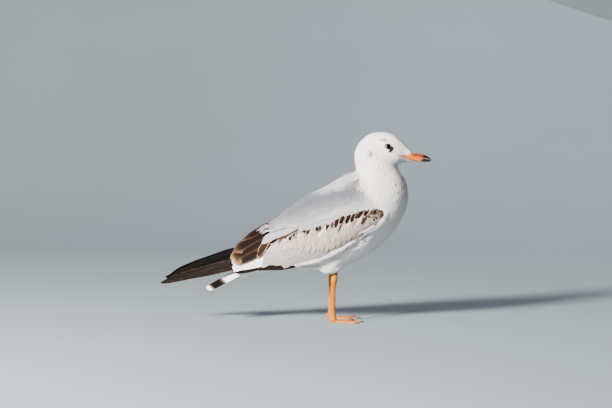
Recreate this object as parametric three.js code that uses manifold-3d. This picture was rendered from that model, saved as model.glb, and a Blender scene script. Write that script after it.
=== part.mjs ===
// Black-headed gull in its first winter, standing at rest, life size.
// Millimetres, +Z up, bill towards +X, the bird's right side towards -Y, soles on z = 0.
import * as THREE from 'three';
import { mergeVertices } from 'three/addons/utils/BufferGeometryUtils.js';
import Module from 'manifold-3d';

const wasm = await Module();
wasm.setup();

// ---------------------------------------------------------------- driving dimensions
const GAP = 0.3; // clearance that parts the pieces
const FULLNESS = 2.2; // exponent of the body's cross-sections, where 2 is an ellipse
const BODY_POINTS = 24; // around the body
const BLADE_POINTS = 6; // steps across a wing, the primaries or the tail
const BILL_POINTS = 6; // steps round each half of the bill
const LIMB_POINTS = 10; // around a thigh or shank
const TOE_POINTS = 6; // steps over a toe
const SMALL_POINTS = 6; // around a claw or hind toe

// Cross-sections of the feathered body from tail to bill. Each lies in the plane through its
// belly point and its back point, both [x, z]; side is its half width, and widest says how far
// up from the belly that width comes.
const BODY = [
  { belly: [-64, 56.5], back: [-68, 69], side: 9, widest: 0.5 }, // tail coverts
  { belly: [-42, 60.5], back: [-46, 86], side: 16, widest: 0.5 }, // vent
  { belly: [-16, 61.5], back: [-25, 125], side: 29, widest: 0.48 }, // rump
  { belly: [11, 61.5], back: [-5, 141], side: 36, widest: 0.48 }, // loin
  { belly: [39, 63], back: [12, 153.5], side: 39, widest: 0.5 }, // legs
  { belly: [64, 69], back: [29, 161], side: 40.5, widest: 0.5 }, // flank
  { belly: [90, 82.5], back: [46, 171], side: 41, widest: 0.5 }, // keel
  { belly: [115, 104], back: [62, 180], side: 40, widest: 0.5 }, // shoulders
  { belly: [130.5, 128], back: [70.5, 182], side: 37, widest: 0.5 }, // breast
  { belly: [137, 150], back: [73, 184.5], side: 33, widest: 0.5 }, // crop
  { belly: [134.5, 169], back: [72.5, 190], side: 28, widest: 0.5 }, // neck
  { belly: [127.5, 181.5], back: [71.5, 197], side: 23.5, widest: 0.5 }, // throat
  { belly: [123.5, 188], back: [72, 207.5], side: 20.5, widest: 0.5 }, // nape
  { belly: [124.5, 190.5], back: [78, 219], side: 19, widest: 0.5 }, // back of the head
  { belly: [126, 191.8], back: [89, 228], side: 18, widest: 0.5 }, // crown
  { belly: [128, 192.8], back: [103.5, 231], side: 16.6, widest: 0.5 }, // eyes
  { belly: [131, 193.7], back: [117, 228], side: 12.8, widest: 0.52 }, // brow
  { belly: [135, 194.4], back: [128, 220.3], side: 8.6, widest: 0.56 }, // lores
  { belly: [140.5, 195.1], back: [136.5, 211.9], side: 5.4, widest: 0.6 }, // forehead
  { belly: [146, 195.6], back: [142.5, 205.4], side: 3.6, widest: 0.6 }, // foot of the bill
];

// Planes that part the body and the wing: [x, z] of a point, and the normal's slope from +X.
const NAPE_CUT = { at: [98, 198], slope: 71 };
const COLLAR_CUT = { at: [104, 167], slope: 62 };
const ARM_CUT = { at: [-22, 92], slope: 12 };

// Wings and tail are blades, given by sections from front to back. A wing's section runs from
// its top edge to its foot, both [x, y, z] of the right wing. bulge is how far the outer face
// stands over the straight line between the edges, and thick the depth below that face.
const ARM = [
  { top: [106.5, -33, 134], foot: [106.5, -33.5, 127], bulge: 1.5, thick: 3 }, // wrist
  { top: [103, -35, 142], foot: [101, -35.5, 116.5], bulge: 5, thick: 7 },
  { top: [85, -37, 144], foot: [84.5, -39, 108.5], bulge: 7.5, thick: 9 },
  { top: [63, -38.5, 140.5], foot: [62, -40.5, 94.5], bulge: 8.5, thick: 9.5 },
  { top: [39, -36.5, 133.5], foot: [38.5, -38.5, 79.5], bulge: 10, thick: 10 }, // elbow
  { top: [15, -32, 126.5], foot: [14.5, -35, 71.8], bulge: 10.5, thick: 9.5 },
  { top: [-11, -23.5, 120], foot: [-10, -31.5, 68.3], bulge: 10.5, thick: 8.5 },
  { top: [-34, -6, 119.5], foot: [-34, -26.5, 68.3], bulge: 11, thick: 7 }, // tertials
  { top: [-49, -3.5, 111.5], foot: [-49, -23.5, 67.5], bulge: 9.5, thick: 5.5 },
  { top: [-63, -3, 102.5], foot: [-62.5, -21.5, 66.3], bulge: 8, thick: 4 },
  { top: [-73.5, -5, 94], foot: [-73, -20, 66.3], bulge: 6, thick: 3 },
  { top: [-79.5, -12.5, 82], foot: [-79, -17.5, 70.5], bulge: 2.5, thick: 1.4 }, // tertial tips
];
const ARM_COVER = 15; // reach of the cutter that clears the body outside a wing
const PRIMARIES = [
  { top: [-50, -6.5, 96], foot: [-50, -17, 71], bulge: 2, thick: 2 },
  { top: [-70, -5.5, 89.5], foot: [-70, -15.5, 66.5], bulge: 2.5, thick: 2.4 },
  { top: [-87, -4.5, 82.5], foot: [-87, -14.5, 61.5], bulge: 2.5, thick: 2.4 },
  { top: [-106, -4, 74.5], foot: [-106, -12.5, 56.8], bulge: 2.2, thick: 2.2 },
  { top: [-127, -4, 66.3], foot: [-127, -10.5, 53], bulge: 1.6, thick: 1.8 },
  { top: [-147, -4.5, 57.8], foot: [-147, -8.5, 49.3], bulge: 1, thick: 1.4 },
  { top: [-160, -5.5, 51], foot: [-160, -7.5, 47.6], bulge: 0.5, thick: 0.9 },
  { top: [-166, -6.4, 47.6], foot: [-166, -7, 46.9], bulge: 0.2, thick: 0.5 }, // wing tip
];
// The left wing's primaries end higher and sooner than the right's, by these.
const LEFT_TIP = { rise: 6, short: 5 };
// Tail: middle is [x, z] of the ridge, side the half width, bulge how far the sides hang.
const TAIL = [
  { middle: [-50, 67], side: 11, bulge: 3.5, thick: 5 },
  { middle: [-66, 64.5], side: 13, bulge: 6, thick: 5 },
  { middle: [-80, 59], side: 15.5, bulge: 7.5, thick: 4 },
  { middle: [-94, 52.3], side: 18, bulge: 7.5, thick: 2.8 },
  { middle: [-104.5, 46], side: 19.2, bulge: 5.8, thick: 1.6 },
  { middle: [-110.5, 42.8], side: 18.4, bulge: 3.6, thick: 0.9 }, // square end
];

// Each half of the bill: x, the height of the closed mouth line, the height of the ridge above
// or below it, and the half width.
const UPPER_BILL = [
  { x: 127, line: 203, ridge: 206, side: 8.4 }, // gape
  { x: 135, line: 201.3, ridge: 205.8, side: 7.3 },
  { x: 142.5, line: 199.9, ridge: 205.5, side: 5 },
  { x: 148.5, line: 199.3, ridge: 205.2, side: 3.7 },
  { x: 154.5, line: 198.6, ridge: 204.1, side: 2.6 },
  { x: 159.5, line: 197.6, ridge: 201.9, side: 1.9 },
  { x: 163.5, line: 196.5, ridge: 199.4, side: 1.2 },
  { x: 166, line: 195.6, ridge: 196.6, side: 0.4 }, // tip
];
const LOWER_BILL = [
  { x: 129, line: 202.5, ridge: 199.6, side: 8.2 },
  { x: 135, line: 201.3, ridge: 197.4, side: 7.1 },
  { x: 142.5, line: 199.9, ridge: 195.9, side: 4.8 },
  { x: 148.5, line: 199.3, ridge: 195.2, side: 3.5 },
  { x: 154.5, line: 198.6, ridge: 194.7, side: 2.4 },
  { x: 160, line: 197.5, ridge: 194.6, side: 1.6 },
  { x: 164, line: 196.3, ridge: 195, side: 0.7 },
];
const EYE = { x: 111.5, y: 12.1, z: 213.3, radius: 5.2 };

// Legs. Places are measured from each leg's axis on the floor; at is [ahead, height].
const STANCE = 21; // each leg's distance from the middle
const LEG_X = { right: 45.5, left: 43 }; // the right leg stands a little ahead
const THIGH = [
  { at: [-2, 90], long: 17, wide: 11 },
  { at: [-3, 76], long: 16, wide: 10.5 },
  { at: [-3.5, 66], long: 13, wide: 8.5 },
  { at: [-3, 61.5], long: 8, wide: 5.5 },
  { at: [-2.5, 60], long: 3.5, wide: 2.5 },
];
const SHANK = [
  { at: [2.6, 66], long: 3.3, wide: 2.5 },
  { at: [1.6, 57.5], long: 3, wide: 2.2 },
  { at: [0.9, 53.4], long: 3.8, wide: 2.7 }, // ankle
  { at: [0.6, 50], long: 3.9, wide: 2.7 },
  { at: [0, 45.5], long: 3, wide: 2 },
  { at: [-0.3, 36], long: 2.7, wide: 1.7 },
  { at: [-0.4, 22], long: 2.7, wide: 1.7 },
  { at: [-0.5, 12], long: 2.9, wide: 2 },
  { at: [-0.4, 7], long: 3.5, wide: 2.7 },
];
const HEEL_PAD = { x: 0.4, z: 2.8, long: 4.4, wide: 3.3, high: 4.8 };
const TOE_ROOT_X = -0.5; // where the toes spring
const TOE = { radius: 1.9, tip: 1.25, height: 2.6, overlap: 2.5 };
const TOES = {
  outer: { length: 31, turn: -24 },
  middle: { length: 34, turn: 1 },
  inner: { length: 26, turn: 26 },
};
const WEB = { thick: 1, reach: 0.86, hollow: 0.47 }; // shares of the toes' lengths
const HIND_TOE = { from: [-4.6, 5.7], to: [-8.4, 3.9], radius: 1.1, tip: 0.7 };
const CLAW = { length: 4.6, radius: 0.95, tip: 0.15, height: 1.35, drop: 1.1 };

// ---------------------------------------------------------------- materials
const paint = (color, roughness) => new THREE.MeshStandardMaterial({ color, roughness });
const WHITE = paint('#ececea', 0.9);
const GREY = paint('#cdced1', 0.9);
const COVERTS = paint('#cbbfb4', 0.85);
const BROWN = paint('#4a372a', 0.8);
const BLACK = paint('#26211e', 0.7);
const ORANGE = paint('#e6955f', 0.45);
const SCALY = paint('#eda76a', 0.6);
const HORN = paint('#241f1d', 0.4);
const EYEBALL = paint('#0d0a09', 0.1);

// ---------------------------------------------------------------- closed shapes
const rad = THREE.MathUtils.degToRad;
const vec = (x, y, z) => new THREE.Vector3(x, y, z);
const list = (count, make) => Array.from({ length: count }, (_, i) => make(i));

// Smooth curve through b and c, between its neighbours a and d.
const curve = (a, b, c, d, t) =>
  0.5 * (2 * b + (c - a) * t + (2 * a - 5 * b + 4 * c - d) * t ** 2 + (3 * b - a - 3 * c + d) * t ** 3);

// Every field of the sections at a place among them, numbers and points alike.
function section(sections, place) {
  const last = sections.length - 1;
  const i = Math.min(Math.floor(place), last - 1);
  const near = [i - 1, i, i + 1, i + 2].map((k) => sections[THREE.MathUtils.clamp(k, 0, last)]);
  const blend = (values) => curve(...values, place - i);
  return Object.fromEntries(Object.entries(near[1]).map(([field, value]) => {
    const values = near.map((one) => one[field]);
    const found = Array.isArray(value) ? value.map((_, k) => blend(values.map((v) => v[k]))) : blend(values);
    return [field, found];
  }));
}

// The sections, with each-1 more between every two.
const refined = (sections, each) =>
  list((sections.length - 1) * each + 1, (i) => section(sections, i / each));

// Closed mesh through rings of equal size, with a fan over each end.
function loft(rings) {
  const count = rings[0].length;
  const middle = (ring) => ring.reduce((sum, p) => sum.add(p), vec(0, 0, 0)).divideScalar(count);
  const points = [...rings.flat(), middle(rings[0]), middle(rings.at(-1))];
  const lastRing = (rings.length - 1) * count;
  const faces = [];
  for (let k = 0; k < count; k++) {
    const next = (k + 1) % count;
    for (let start = 0; start < lastRing; start += count) {
      const [a, b, c, d] = [start + k, start + next, start + count + next, start + count + k];
      faces.push(a, b, c, a, c, d);
    }
    faces.push(points.length - 2, next, k, points.length - 1, lastRing + k, lastRing + next);
  }
  return outward(points, faces);
}

// Geometry of shared points, with its faces turned to point out.
function outward(points, faces) {
  let volume = 0;
  for (let i = 0; i < faces.length; i += 3) {
    const [a, b, c] = [0, 1, 2].map((k) => points[faces[i + k]]);
    volume += a.dot(vec(0, 0, 0).crossVectors(b, c));
  }
  const shape = new THREE.BufferGeometry();
  shape.setAttribute('position', new THREE.Float32BufferAttribute(points.flatMap((p) => [...p]), 3));
  return shape.setIndex(volume < 0 ? faces.toReversed() : faces);
}

// The same shape on the other side of the bird.
function mirrored(shape) {
  const copy = shape.clone().applyMatrix4(new THREE.Matrix4().makeScale(1, -1, 1));
  return copy.setIndex([...copy.index.array].reverse());
}

function solid(shape) {
  const bare = shape.clone();
  bare.deleteAttribute('normal');
  bare.deleteAttribute('uv');
  const closed = mergeVertices(bare, 1e-4);
  return new wasm.Manifold(new wasm.Mesh({
    numProp: 3,
    vertProperties: new Float32Array(closed.attributes.position.array),
    triVerts: new Uint32Array(closed.index.array),
  }));
}

function geometry(body) {
  const mesh = body.getMesh();
  const shape = new THREE.BufferGeometry();
  shape.setAttribute('position', new THREE.Float32BufferAttribute(mesh.vertProperties, 3));
  return shape.setIndex([...mesh.triVerts]);
}

// The part of a solid on one side of a cut, half a gap away from it: side 1 is along the normal.
function sideOf(body, { at, slope }, side) {
  const size = 600;
  const half = new THREE.BoxGeometry(size, size, size).translate((side * (size + GAP)) / 2, 0, 0);
  return body.intersect(solid(half.rotateY(-rad(slope)).translate(at[0], 0, at[1])));
}

// ---------------------------------------------------------------- body
function bodyShape() {
  const power = (value) => Math.sign(value) * Math.abs(value) ** (2 / FULLNESS);
  return loft(refined(BODY, 2).map(({ belly, back, side, widest }) =>
    list(BODY_POINTS, (i) => {
      const angle = (i / BODY_POINTS) * 2 * Math.PI;
      const up = power(Math.cos(angle));
      const share = widest + (up > 0 ? up * (1 - widest) : up * widest);
      const [x, z] = belly.map((value, k) => value + (back[k] - value) * share);
      return vec(x, side * power(Math.sin(angle)), z);
    })));
}

// ---------------------------------------------------------------- wings and tail
// grow swells a blade all round, and cover thickens it outwards, both for cutters.
function bladeShape(sections, grow = 0, cover = 0) {
  const ends = refined(sections, 2).map((one) =>
    ({ ...one, from: vec(...one.top), to: vec(...one.foot) }));
  const last = ends.length - 1;
  return loft(ends.map(({ from, to, bulge, thick }, i) => {
    const run = ends[Math.min(i + 1, last)].from.clone().sub(ends[Math.max(i - 1, 0)].from);
    run.setY(0).normalize();
    const across = to.clone().sub(from);
    const out = vec(0, 0, 0).crossVectors(run, across).normalize();
    const push = run.multiplyScalar(grow * ((i === last) - (i === 0)));
    const at = (share, lift) =>
      from.clone().addScaledVector(across, share).addScaledVector(out, lift).add(push);
    const hump = (share) => 4 * share * (1 - share);
    const swell = grow / across.length();
    const shares = list(BLADE_POINTS + 1, (k) => (k / BLADE_POINTS) * (1 + 2 * swell) - swell);
    const rise = (share) => bulge * Math.max(hump(share), 0);
    const outer = shares.map((share) => at(share, rise(share) + grow + cover));
    const inner = shares.map((share) =>
      at(share, rise(share) - thick * Math.sqrt(Math.max(hump(share), 0)) - grow));
    const kept = grow > 0 ? inner : inner.slice(1, -1);
    return [...outer, ...kept.reverse()];
  }));
}

function primariesShape({ rise, short }) {
  const [root, tip] = [PRIMARIES[0].top[0], PRIMARIES.at(-1).top[0]];
  const settle = ([x, y, z]) => {
    const share = (root - x) / (root - tip);
    return [x + share * short, y, z + share * rise];
  };
  return bladeShape(PRIMARIES.map((one) => ({ ...one, top: settle(one.top), foot: settle(one.foot) })));
}

const tailShape = (grow) => bladeShape(TAIL.map(({ middle: [x, ridge], side, bulge, thick }) =>
  ({ top: [x, side, ridge - bulge], foot: [x, -side, ridge - bulge], bulge, thick })), grow);

// ---------------------------------------------------------------- bill and eyes
function billShape(sections, grow = 0) {
  const rings = refined(sections, 2).map(({ x, line, ridge, side }) => {
    const way = Math.sign(ridge - line);
    const start = line + way * (GAP / 2 - grow);
    const height = ridge + way * grow - start;
    return list(BILL_POINTS + 1, (k) => {
      const angle = (k / BILL_POINTS) * Math.PI;
      return vec(x, Math.cos(angle) * (side + grow), start + Math.sin(angle) * height);
    });
  });
  rings[0].forEach((p) => p.setX(p.x - grow));
  return loft(rings);
}

const eyeShape = (grow = 0) =>
  new THREE.SphereGeometry(EYE.radius + grow, 12, 9).translate(EYE.x, -EYE.y, EYE.z);

// ---------------------------------------------------------------- legs
const limbShape = (sections, grow = 0) =>
  loft(sections.map(({ at: [ahead, height], long, wide }, i) =>
    list(LIMB_POINTS, (k) => {
      const angle = (k / LIMB_POINTS) * 2 * Math.PI;
      const drop = i === sections.length - 1 ? grow : 0;
      return vec(ahead + (long + grow) * Math.cos(angle), (wide + grow) * Math.sin(angle), height - drop);
    })));

// A toe lies along +X on the floor, flat below and rounded above.
function toeShape(length) {
  const steps = [
    { x: -TOE.overlap, radius: TOE.radius, height: TOE.height * 1.1 },
    { x: length * 0.3, radius: TOE.radius, height: TOE.height },
    { x: length * 0.65, radius: TOE.radius * 0.85, height: TOE.height * 0.85 },
    { x: length - 1, radius: TOE.tip, height: TOE.height * 0.7 },
    { x: length, radius: TOE.tip * 0.6, height: TOE.height * 0.5 },
  ];
  return loft(steps.map(({ x, radius, height }) => list(TOE_POINTS + 1, (k) => {
    const angle = (k / TOE_POINTS) * Math.PI;
    return vec(x, Math.cos(angle) * radius, Math.sin(angle) * height);
  })));
}

function webShape() {
  const tips = Object.values(TOES).map(({ length, turn }) =>
    new THREE.Vector2(Math.cos(rad(turn)), Math.sin(rad(turn))).multiplyScalar(length * WEB.reach));
  const outline = new THREE.Shape().moveTo(0, 0).lineTo(tips[0].x, tips[0].y);
  for (const [i, end] of tips.slice(1).entries()) {
    const hollow = tips[i].clone().add(end).multiplyScalar(WEB.hollow);
    outline.quadraticCurveTo(hollow.x, hollow.y, end.x, end.y);
  }
  outline.closePath();
  return new THREE.ExtrudeGeometry(outline, { depth: WEB.thick, bevelEnabled: false, curveSegments: 5 });
}

// Toes, web and the pad over their root as one piece, level below.
function footSolid() {
  const toes = Object.values(TOES).map(({ length, turn }) => toeShape(length).rotateZ(rad(turn)));
  const pad = new THREE.SphereGeometry(1, 10, 8).scale(HEEL_PAD.long, HEEL_PAD.wide, HEEL_PAD.high);
  const whole = [webShape(), ...toes]
    .map((shape) => solid(shape.translate(TOE_ROOT_X, 0, 0)))
    .reduce((sum, piece) => sum.add(piece), solid(pad.translate(HEEL_PAD.x, 0, HEEL_PAD.z)));
  const floor = { at: [0, -GAP / 2], slope: 90 };
  return sideOf(whole, floor, 1).subtract(solid(limbShape(SHANK, GAP)));
}

// A thin taper of round sections, from one radius to another: middle gives [x, z] at a share.
const taperShape = (steps, radius, tip, middle) => loft(list(steps + 1, (i) => {
  const share = i / steps;
  const size = radius + (tip - radius) * share;
  const [x, z] = middle(share);
  return list(SMALL_POINTS, (k) => {
    const angle = (k / SMALL_POINTS) * 2 * Math.PI;
    return vec(x, size * Math.cos(angle), z + size * Math.sin(angle));
  });
}));

const hindToeShape = () => taperShape(3, HIND_TOE.radius, HIND_TOE.tip, (share) =>
  HIND_TOE.from.map((value, k) => value + (HIND_TOE.to[k] - value) * share));

// A claw runs along +X from the end of its toe and curves down to the floor.
const clawShape = ({ length, turn }) =>
  taperShape(4, CLAW.radius, CLAW.tip, (share) =>
    [length + GAP + CLAW.length * share, CLAW.height - CLAW.drop * share ** 1.6])
    .rotateZ(rad(turn)).translate(TOE_ROOT_X, 0, 0);

// ---------------------------------------------------------------- assembly
const gull = new THREE.Group();

function add(name, shape, material, parent = gull) {
  const mesh = new THREE.Mesh(shape, material);
  mesh.name = name;
  parent.add(mesh);
}

// The body is one closed form, hollowed where other pieces sit in it.
let body = solid(bodyShape());
for (const cutter of [billShape(UPPER_BILL, GAP), billShape(LOWER_BILL, GAP), tailShape(GAP)]) {
  body = body.subtract(solid(cutter));
}

const SIDES = [
  { side: 'right', sign: -1, turned: (shape) => shape, tip: { rise: 0, short: 0 } },
  { side: 'left', sign: 1, turned: mirrored, tip: LEFT_TIP },
];
for (const { side, sign, turned, tip } of SIDES) {
  const arm = solid(turned(bladeShape(ARM)));
  add(`wing_${side}_coverts`, geometry(sideOf(arm, ARM_CUT, 1)), COVERTS);
  add(`wing_${side}_tertials`, geometry(sideOf(arm, ARM_CUT, -1)), BROWN);
  add(`wing_${side}_primaries`, turned(primariesShape(tip)), BLACK);
  add(`eye_${side}`, turned(eyeShape()), EYEBALL);

  const leg = new THREE.Group();
  leg.position.set(LEG_X[side], sign * STANCE, 0);
  gull.add(leg);
  const thigh = solid(limbShape(THIGH)).subtract(solid(limbShape(SHANK, GAP)));
  add(`leg_${side}_thigh`, geometry(thigh), WHITE, leg);
  add(`leg_${side}_shank`, limbShape(SHANK), SCALY, leg);
  add(`leg_${side}_foot`, turned(geometry(footSolid())), SCALY, leg);
  add(`leg_${side}_hind_toe`, hindToeShape(), SCALY, leg);
  for (const [toe, size] of Object.entries(TOES)) {
    add(`leg_${side}_claw_${toe}`, turned(clawShape(size)), HORN, leg);
  }

  const hip = limbShape(THIGH, GAP).translate(...leg.position);
  for (const cutter of [turned(bladeShape(ARM, GAP, ARM_COVER)), turned(eyeShape(GAP)), hip]) {
    body = body.subtract(solid(cutter));
  }
}

const front = sideOf(body, COLLAR_CUT, 1);
add('head', geometry(sideOf(front, NAPE_CUT, 1)), WHITE);
add('neck', geometry(sideOf(front, NAPE_CUT, -1)), WHITE);
add('trunk', geometry(sideOf(body, COLLAR_CUT, -1)), GREY);
add('tail', tailShape(0), WHITE);
add('bill_upper', billShape(UPPER_BILL), ORANGE);
add('bill_lower', billShape(LOWER_BILL), ORANGE);

export default gull;
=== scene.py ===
"""Black-headed gull in its first winter, standing: skin, feathers, bill, eyes and legs.

Tables and shape functions are in millimetres; meshes are made in metres.
+X is towards the bill, +Z up, and the bird's right side is towards -Y.
"""
import math

import bmesh
import bpy
import numpy as np
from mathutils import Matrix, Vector, kdtree
from mathutils.bvhtree import BVHTree


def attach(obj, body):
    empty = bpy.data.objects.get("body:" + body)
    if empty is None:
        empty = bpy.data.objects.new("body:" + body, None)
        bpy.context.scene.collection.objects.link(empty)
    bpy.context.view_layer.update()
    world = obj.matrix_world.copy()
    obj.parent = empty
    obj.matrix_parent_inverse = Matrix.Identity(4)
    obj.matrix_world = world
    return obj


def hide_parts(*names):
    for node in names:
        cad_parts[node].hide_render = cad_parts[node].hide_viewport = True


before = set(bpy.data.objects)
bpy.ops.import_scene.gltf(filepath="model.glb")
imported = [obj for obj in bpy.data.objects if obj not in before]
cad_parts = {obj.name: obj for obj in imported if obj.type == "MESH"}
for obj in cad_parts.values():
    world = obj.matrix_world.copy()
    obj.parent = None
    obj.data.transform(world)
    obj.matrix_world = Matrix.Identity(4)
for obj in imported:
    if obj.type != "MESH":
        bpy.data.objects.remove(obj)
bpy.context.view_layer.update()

MM = 0.001
SEED = 7

# ---------------------------------------------------------------- driving dimensions
# The body's cross-sections from tail to bill: belly point x, z, back point x, z, half width,
# and how far up from the belly that width comes.
BODY = np.array([
    [-64, 56.5, -68, 69, 9, 0.5],  # 0 tail coverts
    [-42, 60.5, -46, 86, 16, 0.5],  # vent
    [-16, 61.5, -25, 125, 29, 0.48],  # rump
    [11, 61.5, -5, 141, 36, 0.48],  # loin
    [39, 63, 12, 153.5, 39, 0.5],  # 4 legs
    [64, 69, 29, 161, 40.5, 0.5],  # flank
    [90, 82.5, 46, 171, 41, 0.5],  # keel
    [115, 104, 62, 180, 40, 0.5],  # shoulders
    [130.5, 128, 70.5, 182, 37, 0.5],  # 8 breast
    [137, 150, 73, 184.5, 33, 0.5],  # crop
    [134.5, 169, 72.5, 190, 28, 0.5],  # neck
    [127.5, 181.5, 71.5, 197, 23.5, 0.5],  # throat
    [123.5, 188, 72, 207.5, 20.5, 0.5],  # 12 nape
    [124.5, 190.5, 78, 219, 19, 0.5],  # back of the head
    [126, 191.8, 89, 228, 18, 0.5],  # crown
    [128, 192.8, 103.5, 231, 16.6, 0.5],  # eyes
    [131, 193.7, 117, 228, 12.8, 0.52],  # 16 brow
    [135, 194.4, 128, 220.3, 8.6, 0.56],  # lores
    [140.5, 195.1, 136.5, 211.9, 5.4, 0.6],  # forehead
    [146, 195.6, 142.5, 205.4, 3.6, 0.6],  # 19 foot of the bill
])
FULLNESS = 2.2  # exponent of the cross-sections, where 2 is an ellipse
BODY_END = len(BODY) - 1

# Where feathers grow: place among the sections, then for the back and for the belly the gap
# between roots, the length, the half width and the depth of the coat over the skin.
BACK_COAT = np.array([
    [-0.7, 2.4, 16, 2.8, 1.2], [0, 2.4, 17, 3.0, 1.8], [2, 2.4, 18, 3.4, 2.6],
    [4, 2.3, 19, 3.6, 2.8], [6, 2.2, 18, 3.3, 2.8], [8, 1.8, 14, 2.2, 2.6],
    [10, 1.3, 10.5, 1.3, 2.2], [12, 0.9, 7.5, 0.85, 1.7], [14, 0.75, 5.6, 0.7, 1.4],
    [16, 0.65, 4.2, 0.6, 1.2], [17.5, 0.55, 2.8, 0.48, 1.1], [19, 0.45, 1.6, 0.36, 1.0]])
BELLY_COAT = np.array([
    [-0.7, 2.2, 16, 2.4, 1.0], [0, 2.1, 17, 2.4, 1.6], [2, 1.9, 17, 2.1, 3.0],
    [4, 1.7, 16, 1.8, 3.4], [6, 1.55, 15, 1.6, 3.4], [8, 1.4, 13.5, 1.4, 3.0],
    [10, 1.15, 10.5, 1.15, 2.3], [12, 0.9, 7, 0.85, 1.7], [14, 0.75, 5.2, 0.7, 1.4],
    [16, 0.65, 3.8, 0.55, 1.2], [17.5, 0.55, 2.6, 0.46, 1.1], [19, 0.45, 1.6, 0.36, 1.0]])

# The folded wing's arm, from wrist to tertial tips: top edge x, y, z, foot edge x, y, z of the
# right wing, how far the outer face bulges, and the depth below that face.
ARM = np.array([
    [106.5, -33, 134, 106.5, -33.5, 127, 1.5, 3],  # 0 wrist
    [103, -35, 142, 101, -35.5, 116.5, 5, 7],
    [85, -37, 144, 84.5, -39, 108.5, 7.5, 9],
    [63, -38.5, 140.5, 62, -40.5, 94.5, 8.5, 9.5],
    [39, -36.5, 133.5, 38.5, -38.5, 79.5, 10, 10],  # 4 elbow
    [15, -32, 126.5, 14.5, -35, 71.8, 10.5, 9.5],
    [-11, -23.5, 120, -10, -31.5, 68.3, 10.5, 8.5],
    [-34, -6, 119.5, -34, -26.5, 68.3, 11, 7],  # 7 tertials
    [-49, -3.5, 111.5, -49, -23.5, 67.5, 9.5, 5.5],
    [-63, -3, 102.5, -62.5, -21.5, 66.3, 8, 4],
    [-73.5, -5, 94, -73, -20, 66.3, 6, 3],
    [-79.5, -12.5, 82, -79, -17.5, 70.5, 2.5, 1.4],  # 11 tertial tips
])
PRIMARIES = np.array([
    [-50, -6.5, 96, -50, -17, 71, 2, 2], [-70, -5.5, 89.5, -70, -15.5, 66.5, 2.5, 2.4],
    [-87, -4.5, 82.5, -87, -14.5, 61.5, 2.5, 2.4], [-106, -4, 74.5, -106, -12.5, 56.8, 2.2, 2.2],
    [-127, -4, 66.3, -127, -10.5, 53, 1.6, 1.8], [-147, -4.5, 57.8, -147, -8.5, 49.3, 1, 1.4],
    [-160, -5.5, 51, -160, -7.5, 47.6, 0.5, 0.9], [-166, -6.4, 47.6, -166, -7, 46.9, 0.2, 0.5]])
LEFT_RISE, LEFT_SHORT = 6, 5  # the left wing's primaries end higher and sooner
# The tail: ridge x, z, half width, how far the sides hang, and its depth.
TAIL = np.array([
    [-50, 67, 11, 6.5, 5], [-66, 64.5, 13, 10, 5], [-80, 59, 15.5, 10.3, 4],
    [-94, 52.3, 18, 9.8, 2.8], [-104.5, 46, 19.2, 7.0, 1.6], [-110.5, 41.6, 18.4, 2.2, 0.9]])

# Each half of the bill: x, mouth line height, ridge height, half width.
UPPER_BILL = np.array([
    [127, 203, 206, 8.4], [135, 201.3, 205.8, 7.3], [142.5, 199.9, 205.5, 5],
    [148.5, 199.3, 205.2, 3.7], [154.5, 198.6, 204.1, 2.6], [159.5, 197.6, 201.9, 1.9],
    [163.5, 196.5, 199.4, 1.2], [166, 195.6, 196.6, 0.4]])
LOWER_BILL = np.array([
    [129, 202.5, 199.6, 8.2], [135, 201.3, 197.4, 7.1], [142.5, 199.9, 195.9, 4.8],
    [148.5, 199.3, 195.2, 3.5], [154.5, 198.6, 194.7, 2.4], [160, 197.5, 194.6, 1.6],
    [164, 196.3, 195, 0.7]])
MOUTH_GAP = 0.03  # each side of the mouth line
# The bare bill shows between these edges of the face's feathering: x and height.
FACE_OVER_BILL = np.array([[126.5, 203.3], [131.4, 202.9], [136.2, 202.9], [139.9, 203.9],
                           [142.3, 205.5], [143, 207]])
FACE_UNDER_BILL = np.array([[126.5, 203.2], [128.9, 201.3], [131.4, 199.4], [134.4, 198],
                            [138.7, 197], [146.6, 196.0]])
NOSTRIL = (145.5, 202.9)  # x, height
EYE = np.array([111.5, 12.1, 213.3])
EYE_RADIUS = 5.2
LID_RADIUS = 3.75  # of the opening between the lids

SIDES = {"right": -1, "left": 1}  # the sign of each side's y
STANCE = 21  # each foot from the middle
LEG_X = {"right": 45.5, "left": 43}
# A leg's sections: ahead of its axis, height, half length fore and aft, half width.
THIGH = np.array([[-2, 96, 16, 10], [-2, 90, 17, 11], [-3, 76, 16, 10.5], [-3.5, 66, 13, 8.5],
                  [-3, 61.5, 8, 5.5], [-2.5, 60, 3.5, 2.5]])
SHANK = np.array([
    [2.6, 66, 3.3, 2.5], [1.6, 57.5, 3, 2.2], [0.9, 53.4, 3.8, 2.7], [0.6, 50, 3.9, 2.7],
    [0, 45.5, 3, 2], [-0.3, 36, 2.7, 1.7], [-0.4, 22, 2.7, 1.7], [-0.5, 12, 2.9, 2],
    [-0.4, 7, 3.5, 2.7]])
HEEL_PAD = {"x": 0.2, "z": 2.8, "long": 4.0, "wide": 3.1, "high": 4.8}
TOE_ROOT_X = -0.5
TOE_RADIUS, TOE_TIP, TOE_HEIGHT = 1.9, 1.25, 2.6
# Each front toe: length, turn from straight ahead, and the shares of its knuckles.
TOES = {"outer": (31, -24, (0.26, 0.48, 0.68, 0.85)), "middle": (34, 1, (0.3, 0.56, 0.79)),
        "inner": (26, 26, (0.36, 0.72))}
WEB_REACH, WEB_HOLLOW = 0.86, 0.47
HIND_TOE = ((-2.6, 6.2), (-8.4, 3.9), 1.25, 0.7)
CLAW_LENGTH, CLAW_RADIUS, CLAW_TIP, CLAW_HEIGHT, CLAW_DROP = 4.6, 0.95, 0.15, 1.35, 1.1


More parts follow.
